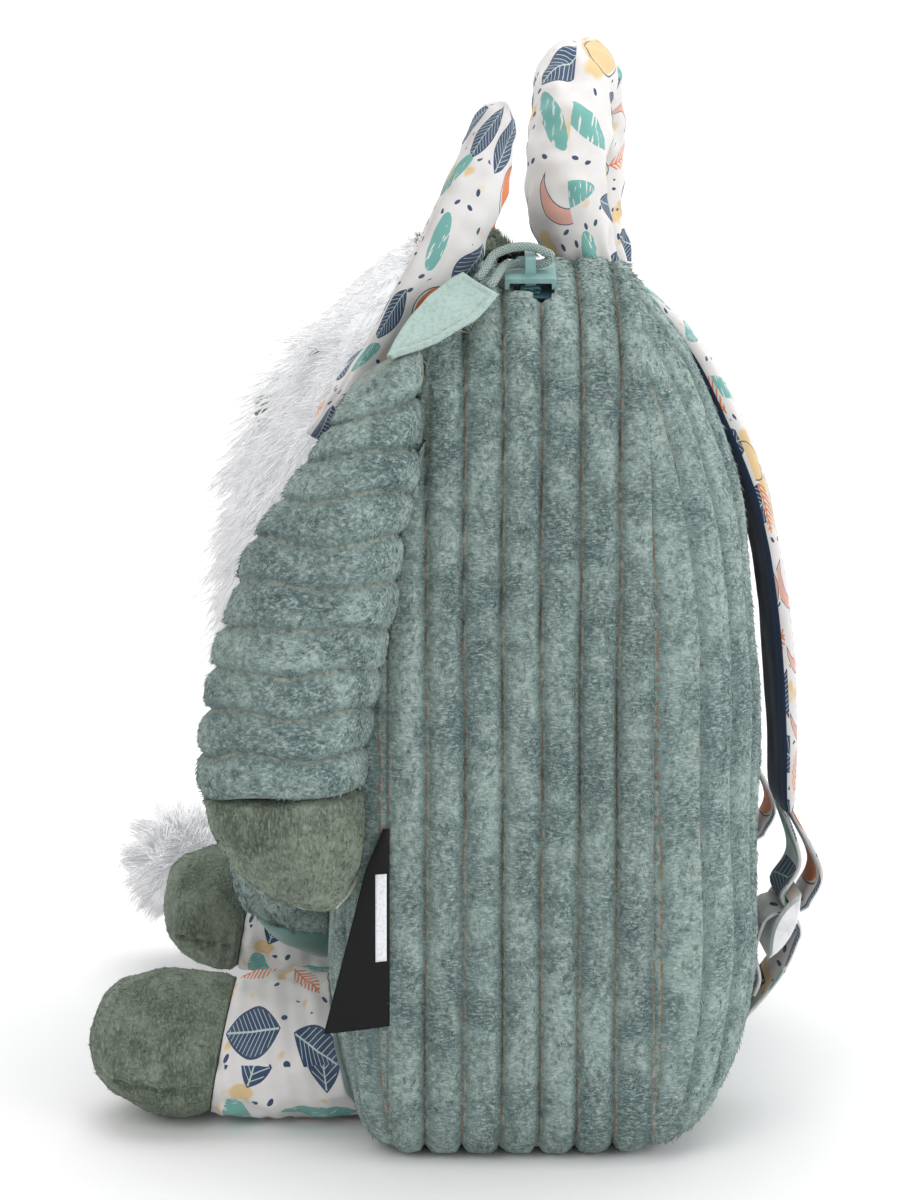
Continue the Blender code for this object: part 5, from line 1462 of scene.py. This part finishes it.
class BACKPACK_OT_arms(bpy.types.Operator):
    """Ribbed plush sleeves with a seam down the front, and smooth olive paws"""

    bl_idname = "backpack.arms"
    bl_label = "Arms"

    def execute(self, context):
        for word, side in SIDES:
            s = np.linspace(0.0, ARM_CUFF, 150)
            phase = s / ARM_CUFF * SLEEVE_RIBS
            turn = turn_steps(64)
            front = np.exp(-((turn - 1.42 * math.pi) / 0.06) ** 2)
            edges = 0.45 + 0.55 * np.abs(np.sin(turn)) ** 1.5
            relief = 0.0024 * edges * (0.5 - rib_groove(phase)[:, None]) - 0.0010 * front[None]
            ends = np.minimum(1.0, np.minimum(s, ARM_CUFF - s) / 0.012)[:, None]
            points = arm_rings(side, 0.0, ARM_CUFF, 150, 64, relief - 0.0026 * (1 - ends) ** 2)
            points = dented(points, points.mean(axis=1, keepdims=True), 0.0010, 0.030, 71)
            points[..., 2] += 0.0012 * ripple(points, 0.035, 72)
            points = clear_of_bag(points)
            sleeve = closed_form("ribbed_sleeve_" + word, points, look("sleeve"),
                                 ribs=phase[:, None] * np.ones(64))
            place_piece(sleeve, "plush", "sleeve_" + word, fill=0.8)
            backs = np.abs(2.0 * (phase - np.floor(phase)) - 1.0)[:-1, None] * np.ones(64) < 0.84
            pile("sleeve_pile_" + word, "plush", points, 8000, 73, look("tufts"),
                 (0.0, -1.0, -0.35), 0.7, 0.45, wrap=True, keep=backs)
            s = np.linspace(ARM_CUFF + 0.0015, 1.0, 70)
            start = 0.0026 * np.exp(-((s - s[0]) / 0.006) ** 2)
            paw = arm_rings(side, s[0], 1.0, 70, 56, -start[:, None])
            paw = dented(paw, paw.mean(axis=1, keepdims=True), 0.0007, 0.02, 75)
            tip = paw[-1].mean(axis=0)
            closing = np.linspace(0.9, 0.15, 6)[:, None, None]
            shut = tip + (paw[-1] - tip) * closing + np.array((0, 0, -0.0008)) * (1 - closing)
            paw = clear_of_bag(np.concatenate((paw, shut)))
            mitten = closed_form("olive_paw_" + word, paw, look("olive"))
            place_piece(mitten, "olive_plush", "paw_" + word, fill=0.8)
            pile("paw_pile_" + word, "olive_plush", paw, 4000, 76, look("olive"), (0.0, 0.2, -1.0), 0.5,
                 0.35, 0.0017, wrap=True)
            edge = evenly(np.concatenate((paw[3:-6, 40], paw[-7:2:-1, 16])), 120)
            edge += 0.0010 * unit(edge - paw.mean(axis=(0, 1)))
            seam_line = closed_form("paw_seam_" + word, carried(edge, X_AXIS, 0.0008, 0.0008, 8),
                                    look("thread"))
            place_piece(seam_line, "olive_plush")
        return {"FINISHED"}


# Legs

LEG_CUFF_Y = -0.089
FOOT_TIP_Y = -0.130
LEG_X = 0.055
LEG_HALF = 0.022
FAR_LEG_PULL = 0.0085
FAR_LEG_LIFT = 0.0130
TOE_RISE = 0.0085
CUFF_SLANT = 0.0042
FOOT_SHAPE = np.array(((0.0, 0.98, 0.96, 0.0), (0.25, 1.06, 1.0, 0.0), (0.55, 1.04, 0.99, 0.01),
                       (0.78, 0.90, 0.86, 0.03), (0.92, 0.62, 0.62, 0.05), (1.0, 0.12, 0.14, 0.06)))


def leg_sections(side, y, wide, tall, lift, columns):
    """Rounded-square sections standing across the leg: |x/a|^2.2 + |z/b|^2.2 = 1."""
    turn = turn_steps(columns)
    c = bent(np.cos(turn), 2 / 2.2)
    s = bent(np.sin(turn), 2 / 2.2)
    x = side * LEG_X + LEG_HALF * wide[:, None] * c
    z = LEG_HALF + lift[:, None] + LEG_HALF * tall[:, None] * s
    return np.stack(np.broadcast_arrays(x, np.broadcast_to(y[:, None], x.shape), z), axis=-1).copy()


class BACKPACK_OT_legs(bpy.types.Operator):
    """Printed cotton legs with a seam and folds, and olive plush feet gathered at a seam"""

    bl_idname = "backpack.legs"
    bl_label = "Legs and feet"

    def execute(self, context):
        for word, side in SIDES:
            pull = 0.0 if side > 0 else FAR_LEG_PULL
            lift = 0.0 if side > 0 else FAR_LEG_LIFT
            cuff = LEG_CUFF_Y - 0.25 * pull
            s = np.linspace(0.0, 1.0, 80)
            wide = np.interp(s, (0, 0.25, 0.6, 1), (0.92, 0.97, 0.98, 0.955))
            leg = leg_sections(side, cuff * s, wide, wide, lift * (0.8 + 0.2 * s), 64)
            root = front_surface(leg[..., 0], leg[..., 2]) - 0.0004
            slant = CUFF_SLANT * (leg[..., 2] - LEG_HALF - lift) / LEG_HALF
            leg[..., 1] = root * (1 - s[:, None]) + (cuff + slant) * s[:, None]
            away = unit(leg - leg.mean(axis=1, keepdims=True))
            turn = turn_steps(64)
            fold = 0.0007 * ripple(leg, 0.014, 81) + 0.0005 * ripple(leg, 0.006, 82)
            end = np.exp(-((1 - s) / 0.05) ** 2)[:, None]
            groove = np.exp(-((turn - 1.80 * math.pi) / 0.05) ** 2)[None]
            leg = leg + away * (fold - 0.0012 * end - 0.0009 * groove)[..., None]
            leg[..., 2] = np.maximum(leg[..., 2], 0.0007)
            made = closed_form("printed_leg_" + word, leg, look("print_large"),
                               (s * 0.055, turn_cloth(64, LEG_HALF)))
            rows = np.arange(64)
            plump(made, np.concatenate((rows, rows + 79 * 64)), 3.0, 0.0006)
            level_feet(made)
            place_piece(made, "print", "leg_" + word, fill=0.7)
            f = np.sin(np.linspace(0.0, 1.0, 84) * math.pi / 2)
            wide, tall, raised = (smoothed(np.interp(f, FOOT_SHAPE[:, 0], FOOT_SHAPE[:, k]), 7)
                                  for k in (1, 2, 3))
            tip = FOOT_TIP_Y + pull
            y = (cuff - 0.0004) + (tip - cuff + 0.0004) * f
            foot = leg_sections(side, y, wide, tall, lift + LEG_HALF * raised, 120)
            up = (foot[..., 2] - LEG_HALF - lift) / LEG_HALF
            foot[..., 1] += CUFF_SLANT * up * (1 - f[:, None]) ** 1.3
            foot[..., 2] += TOE_RISE * (f[:, None] ** 2.2) * np.clip(-up, 0.0, 1.0)
            away = unit(foot - foot.mean(axis=1, keepdims=True))
            turn = turn_steps(120)
            low = np.minimum(np.abs(turn - 1.88 * math.pi), np.abs(turn - 1.12 * math.pi))
            crease = np.exp(-(low / 0.07) ** 2)[None] * np.sin(math.pi * f)[:, None] ** 0.4
            gather = np.exp(-(low / 0.35) ** 2)[None] * np.sin(f * 34.0)[:, None] * 0.00045
            begin = np.exp(-(f / 0.05) ** 2)[:, None]
            foot = foot + away * (0.0007 * ripple(foot, 0.022, 83) - 0.0032 * crease + gather
                                  - 0.0012 * begin)[..., None]
            foot[..., 2] = np.maximum(foot[..., 2], 0.0007)
            made = closed_form("olive_foot_" + word, foot, look("olive"))
            place_piece(made, "olive_plush", "foot_" + word, fill=0.8)
            pile("foot_pile_" + word, "olive_plush", foot, 5500, 84, look("olive"), (0.0, -1.0, 0.1),
                 0.5, 0.35, 0.0015, wrap=True, keep=(foot[:-1, :, 2] > 0.002) & (crease[:-1] < 0.20))
        return {"FINISHED"}


def level_feet(piece):
    """Keeps a piece's points above the floor."""
    places = point_places(piece.data)
    places[:, 2] = np.maximum(places[:, 2], 0.0006)
    move_points(piece.data, places)


# Belly and tail

BELLY_CENTRE = np.array((0.0, -0.059, 0.079))
BELLY_RADII = np.array((0.050, 0.034, 0.045))
BELLY_FOOT_Z = 0.0533
SEAT_TOP_Z = 0.0527


class BACKPACK_OT_belly(bpy.types.Operator):
    """The fuzzy ribbed belly and the smooth jersey seat below it"""

    bl_idname = "backpack.belly"
    bl_label = "Belly"

    def execute(self, context):
        centre, radii = BELLY_CENTRE, BELLY_RADII
        upper = cut_ball(64, 80, radii, centre, centre, ((-Z_AXIS, -BELLY_FOOT_Z),))
        phase = upper[..., 0] / 0.0115
        away = unit(upper - centre)
        upper += away * (0.0012 * (1 - 1.6 * rib_groove(phase))
                         + 0.0006 * ripple(upper, 0.03, 91))[..., None]
        upper[..., 2] = np.maximum(upper[..., 2], BELLY_FOOT_Z)
        upper = clear_of_bag(upper)
        body = closed_form("plush_belly", upper, look("plush"), ribs=phase)
        place_piece(body, "plush", "belly", fill=0.8)
        pile("belly_pile", "plush", upper, 5000, 92, look("tufts"), (0.0, -0.2, -1.0), 0.7, 0.5,
             0.0026, wrap=True)
        lower = cut_ball(44, 64, radii * (1.0, 1.0, 0.97), centre, centre - (0.0, 0.0, 0.036),
                         ((Z_AXIS, SEAT_TOP_Z),))
        lower = dented(lower, centre, 0.0006, 0.02, 93)
        lower[..., 2] = np.minimum(lower[..., 2], SEAT_TOP_Z)
        seat = closed_form("jersey_seat", clear_of_bag(lower), look("jersey"))
        place_piece(seat, "smooth_teal", "belly_base", fill=0.8)
        return {"FINISHED"}


TUFT_CENTRE = np.array((-0.106, -0.121, 0.0405))
CORE_RADIUS = 0.0135
TAIL_ROOT = np.array((-0.100, -0.018, 0.046))


class BACKPACK_OT_tail(bpy.types.Operator):
    """The tail that curls round the far side, with its white fur ball"""

    bl_idname = "backpack.tail"
    bl_label = "Tail"

    def execute(self, context):
        steps = np.array(((0.008, 0, 0), (-0.008, -0.006, 0), (-0.0155, -0.028, -0.002),
                          (-0.0145, -0.055, -0.004), (-0.0105, -0.0855, -0.0045)))
        path = flowing(TAIL_ROOT + steps, 90)
        size = 0.0100 * (1.0 - 0.25 * np.linspace(0, 1, 90) ** 4)
        rings = carried(path, Z_AXIS, size, size, 40)
        run = run_length(path)
        phase = (run / PANEL_RIB)[:, None] * np.ones(40)
        away = unit(rings - path[:, None])
        rings = rings + away * (0.0007 * (1 - 2 * rib_groove(phase)))[..., None]
        rings[..., 0] = np.where(rings[..., 1] > -0.040, np.minimum(rings[..., 0], -0.1003),
                                 rings[..., 0])
        tail = closed_form("plush_tail", rings, look("plush"), ribs=phase)
        place_piece(tail, "plush", "tail", fill=0.8)
        pile("tail_pile", "plush", rings, 2000, 95, look("tufts"), (0.0, -1.0, 0.0), 0.6, 0.4, wrap=True)
        core = ball(30, 40, np.full(3, CORE_RADIUS), TUFT_CENTRE)
        place_piece(closed_form("tail_core", core, look("fur")), "fur", "tail_tuft", fill=0.8)
        count = 4200
        rng = np.random.default_rng(96)
        normal = spiral_directions(count)
        roots = TUFT_CENTRE + normal * 0.0131
        tufts = normal[rng.choice(count, 150, replace=False)]
        near = (normal @ tufts.T).argmax(axis=1)
        aims = unit(normal + rng.normal(size=(150, 3))[near] * 0.32 + rng.normal(size=(count, 3)) * 0.1)
        length = 0.0140 * rng.uniform(0.60, 1.05, count)
        fur = hairs("tail_fur", roots, aims, (tufts[near] - normal) * 0.9 + (0.0, 0.0, -0.12), length,
                    0.00036, look("fur"))
        place_piece(fur, "fur")
        return {"FINISHED"}


# Straps

STRAP_X = 0.047
STRAP_WIDTH = 0.0340
STRAP_THICKNESS = 0.0085
STRAP_LINE = np.array(((-0.0400, 0.966, 0.55), (-0.0300, 0.937, 0.75), (-0.0180, 0.882, 0.95),
                       (-0.0085, 0.812, 1.05), (-0.0005, 0.740, 1.0), (0.0030, 0.690, 0.80),
                       (0.0062, 0.630, 0.90), (0.0090, 0.545, 0.90), (0.0105, 0.450, 0.85),
                       (0.0108, 0.385, 0.70), (0.0110, 0.366, 0.40)))
WEBBING_WIDTH = 0.0240
WEBBING_THICKNESS = 0.0014
ADJUSTER_TILT = math.radians(23.5)
ADJUSTER_Y, ADJUSTER_Z = 0.0811, 0.06026
ADJUSTER_LENGTH, ADJUSTER_THICKNESS = 0.0224, 0.0060
SLOT_BOTTOM = 0.06 * ADJUSTER_LENGTH
BAR_TURN = 0.70 * ADJUSTER_THICKNESS
BODY_TURN = 0.97 * ADJUSTER_THICKNESS


def by_adjuster(along, out):
    """Place (across, up) from the adjuster's middle, along its tilted plate and out of it."""
    return (ADJUSTER_Y + along * math.sin(ADJUSTER_TILT) + out * math.cos(ADJUSTER_TILT),
            ADJUSTER_Z + along * math.cos(ADJUSTER_TILT) - out * math.sin(ADJUSTER_TILT))


def ribbon(name, slot, x, knots, width, thickness, material, node, count=130):
    """A flat band of webbing through (across, up) knots, in a plane across the bag."""
    path = np.array([(x, y, z) for y, z in knots])
    path = evenly(flowing(path, count * 3), count)
    rings = carried(path, X_AXIS, width / 2, thickness / 2, 24, power=7.0)
    cloth = (run_length(path), 2.0 * (width + thickness) * np.linspace(0.0, 1.0, 25))
    return place_piece(closed_form(name, rings, material, cloth), slot, node), path


def line_inside(piece, path, word):
    """Gives the faces on the bag's side of a strap their own cloth."""
    piece.data.materials.append(look(word))
    mesh = piece.data
    middles = face_rows(mesh, "center")
    near = ((middles[:, None, 1:] - path[None, ::3, 1:]) ** 2).sum(axis=-1).argmin(axis=1)
    along = unit(np.gradient(path[::3], axis=0))
    out = np.cross(along, X_AXIS)
    out *= np.sign(out[:, 1:2].mean())
    inner = ((middles - path[::3][near]) * out[near]).sum(axis=-1) < -0.0006
    mesh.polygons.foreach_set("material_index", inner.astype(np.int32))


class BACKPACK_OT_straps(bpy.types.Operator):
    """Padded printed straps, their webbing rolled round the adjusters, and the adjusters"""

    bl_idname = "backpack.straps"
    bl_label = "Straps"

    def execute(self, context):
        height = settings().height
        for word, side in SIDES:
            x = side * STRAP_X
            knots = [(x, BACK_CREST + past, share * height) for past, share, _ in STRAP_LINE]
            path = flowing(knots, 170)
            size = np.interp(np.linspace(0, 1, 170), np.linspace(0, 1, len(knots)), STRAP_LINE[:, 2])
            half = STRAP_THICKNESS / 2 * size
            rings = carried(path, X_AXIS, STRAP_WIDTH / 2 - 0.0002, half, 44, power=2.8)
            across = np.abs(rings[..., 0] - x) / (STRAP_WIDTH / 2)
            away = unit(rings - path[:, None])
            hem = np.exp(-((across - 0.80) / 0.05) ** 2)
            fold = 0.0004 * ripple(rings, 0.016, 101)
            rings = rings + away * (fold - 0.0006 * hem)[..., None]
            run = run_length(path)
            cloth = (run, 2.0 * STRAP_WIDTH * np.linspace(0.0, 1.0, 45))
            strap = closed_form("padded_strap_" + word, rings, look("print"), cloth)
            line_inside(strap, path, "navy")
            place_piece(strap, "print", "strap_" + word, fill=0.5)
            out = np.cross(unit(np.gradient(path, axis=0)), X_AXIS)
            out *= np.sign(out[:, 1:2].mean())
            for edge in (-1.0, 1.0):
                line = path[14:-8] + X_AXIS * edge * STRAP_WIDTH * 0.40 + out[14:-8] * \
                    (half[14:-8, None] * 0.70)
                stitches("strap_stitches_%s_%s" % (word, "in" if edge * side < 0 else "out"), "print",
                         line, out[14:-8], 0.0036, 0.0026, 0.00026, look("strip"))
            end_y, end_z = BACK_CREST + STRAP_LINE[-1, 0], STRAP_LINE[-1, 1] * height
            turn = np.linspace(0.0, math.pi, 9)
            middle = SLOT_BOTTOM + 0.0037 + BAR_TURN
            loop = [(end_y - 0.0008, end_z), by_adjuster(middle + 0.0105, -0.9 * BAR_TURN)]
            loop += [by_adjuster(middle - BAR_TURN * math.sin(t), -BAR_TURN * math.cos(t)) for t in turn]
            loop += [by_adjuster(middle + 0.0105, 0.75 * BAR_TURN), (end_y + 0.0008, end_z)]
            ribbon("strap_webbing_" + word, "print", x, loop, WEBBING_WIDTH, WEBBING_THICKNESS,
                   look("print_small"), "strap_loop_" + word)
            middle = SLOT_BOTTOM + 0.0020 - BODY_TURN
            band = [(BACK_CREST - 0.0130, 0.086 * height), (BACK_CREST - 0.0020, 0.115 * height),
                    by_adjuster(-0.0150, 0.0056)]
            band += [by_adjuster(middle + BODY_TURN * math.sin(t), BODY_TURN * math.cos(t))
                     for t in turn]
            band += [by_adjuster(-0.0110, -0.0046), (BACK_CREST + 0.0035, 0.165 * height),
                     (BACK_CREST + 0.0018, 0.145 * height)]
            ribbon("lower_webbing_" + word, "print", x, band, WEBBING_WIDTH, WEBBING_THICKNESS,
                   look("print_small"), "webbing_" + word)
            refinish("adjuster_" + word, look("white"))
        return {"FINISHED"}


LABEL_X = 0.0984
LABEL_TOP = 0.099
LABEL_DROP = 0.0600
LABEL_WIDTH = 0.0185


class BACKPACK_OT_label(bpy.types.Operator):
    """The plain black side tab with a plain white strip, sewn into the front seam"""

    bl_idname = "backpack.label"
    bl_label = "Blank tab"

    def execute(self, context):
        down, out = np.linspace(0.0, 1.0, 60), np.linspace(0.0, 1.0, 20)
        z = LABEL_TOP - LABEL_DROP * down * 0.96
        forward = np.interp(down, (0.0, 0.19, 1.0), (0.10, 0.36, 1.02))
        y = seam("front", z)[:, None] + 0.0006 - LABEL_WIDTH * forward[:, None] * out
        z = z[:, None] - 0.0024 * down[:, None] * out
        x = LABEL_X + 0.0004 * np.sin(out * 3.0)[None] + 0.0005 * np.sin(down * 5.0)[:, None]
        points = np.stack(np.broadcast_arrays(x, y, z), axis=-1).copy()
        tab = sheet_mesh("blank_tab", points, look=look("black"), centre=(0.0, -0.045, 0.07))
        thicken(tab, 0.0007)
        place_piece(tab, "black_satin", "label_tab")
        rows = points[13:40]
        reach = rows[:, -1:] - rows[:, :1]
        share = np.linspace(0.0008, 0.0040, 6) / np.linalg.norm(reach, axis=-1)
        strip = rows[:, :1] + reach * share[..., None] + X_AXIS * 0.00060
        patch = sheet_mesh("blank_strip", strip, look=look("strip"), centre=(0.0, -0.045, 0.07))
        thicken(patch, 0.0002)
        place_piece(patch, "black_satin")
        return {"FINISHED"}


def off_valley(phase):
    """A mask of the quads that lie on the ribs' backs, off the valleys between them."""
    part = phase[:-1, :-1] - np.floor(phase[:-1, :-1])
    return np.abs(2.0 * part - 1.0) < 0.84


class BACKPACK_OT_pile(bpy.types.Operator):
    """Short slanted tufts over the ribbed gusset and the two panels"""

    bl_idname = "backpack.pile"
    bl_label = "Plush pile"

    def execute(self, context):
        points, phase, keep, _ = band_sheet()
        clear = keep & off_valley(phase) & (points[:-1, :-1, 2] > 0.003)
        pile("gusset_pile", "plush", points, 27000, 111, look("tufts"), keep=clear)
        for side, depth, columns, count in (("back", settings().back_depth, 170, 18000),
                                            ("front", settings().front_depth, 130, 5000)):
            points, phase, _ = panel_sheet(side, depth, columns, 80)
            pile(side + "_pile", "plush", points, count, 115, look("tufts"), keep=off_valley(phase))
        return {"FINISHED"}


class BACKPACK_PT_panel(bpy.types.Panel):
    """Sizes, colours and pieces of the backpack"""

    bl_idname = "BACKPACK_PT_panel"
    bl_label = "Kids animal backpack"
    bl_space_type = "VIEW_3D"
    bl_region_type = "UI"
    bl_category = "Backpack"

    def draw(self, context):
        column = self.layout.column()
        for group in (context.scene.backpack_bag, context.scene.backpack_coat,
                      context.scene.backpack_colours):
            for key in group.__annotations__:
                column.prop(group, key)
        for operator in OPERATORS:
            column.operator(operator.bl_idname)


GROUPS = (("backpack_bag", BagSettings), ("backpack_coat", CoatSettings),
          ("backpack_colours", ColourSettings))
OPERATORS = (BACKPACK_OT_stage, BACKPACK_OT_cord, BACKPACK_OT_shell, BACKPACK_OT_pile,
             BACKPACK_OT_zip, BACKPACK_OT_tab, BACKPACK_OT_handle, BACKPACK_OT_ears,
             BACKPACK_OT_head, BACKPACK_OT_arms, BACKPACK_OT_legs, BACKPACK_OT_belly,
             BACKPACK_OT_tail, BACKPACK_OT_straps, BACKPACK_OT_label)


def register():
    for name, group in GROUPS:
        bpy.utils.register_class(group)
        setattr(bpy.types.Scene, name, PointerProperty(type=group))
    for entry in (*OPERATORS, BACKPACK_PT_panel):
        bpy.utils.register_class(entry)


def unregister():
    for entry in (BACKPACK_PT_panel, *reversed(OPERATORS)):
        bpy.utils.unregister_class(entry)
    for name, group in reversed(GROUPS):
        delattr(bpy.types.Scene, name)
        bpy.utils.unregister_class(group)


def main():
    register()
    for operator in OPERATORS:
        word = operator.bl_idname.split(".")[1]
        getattr(bpy.ops.backpack, word)()


if __name__ == "__main__":
    main()
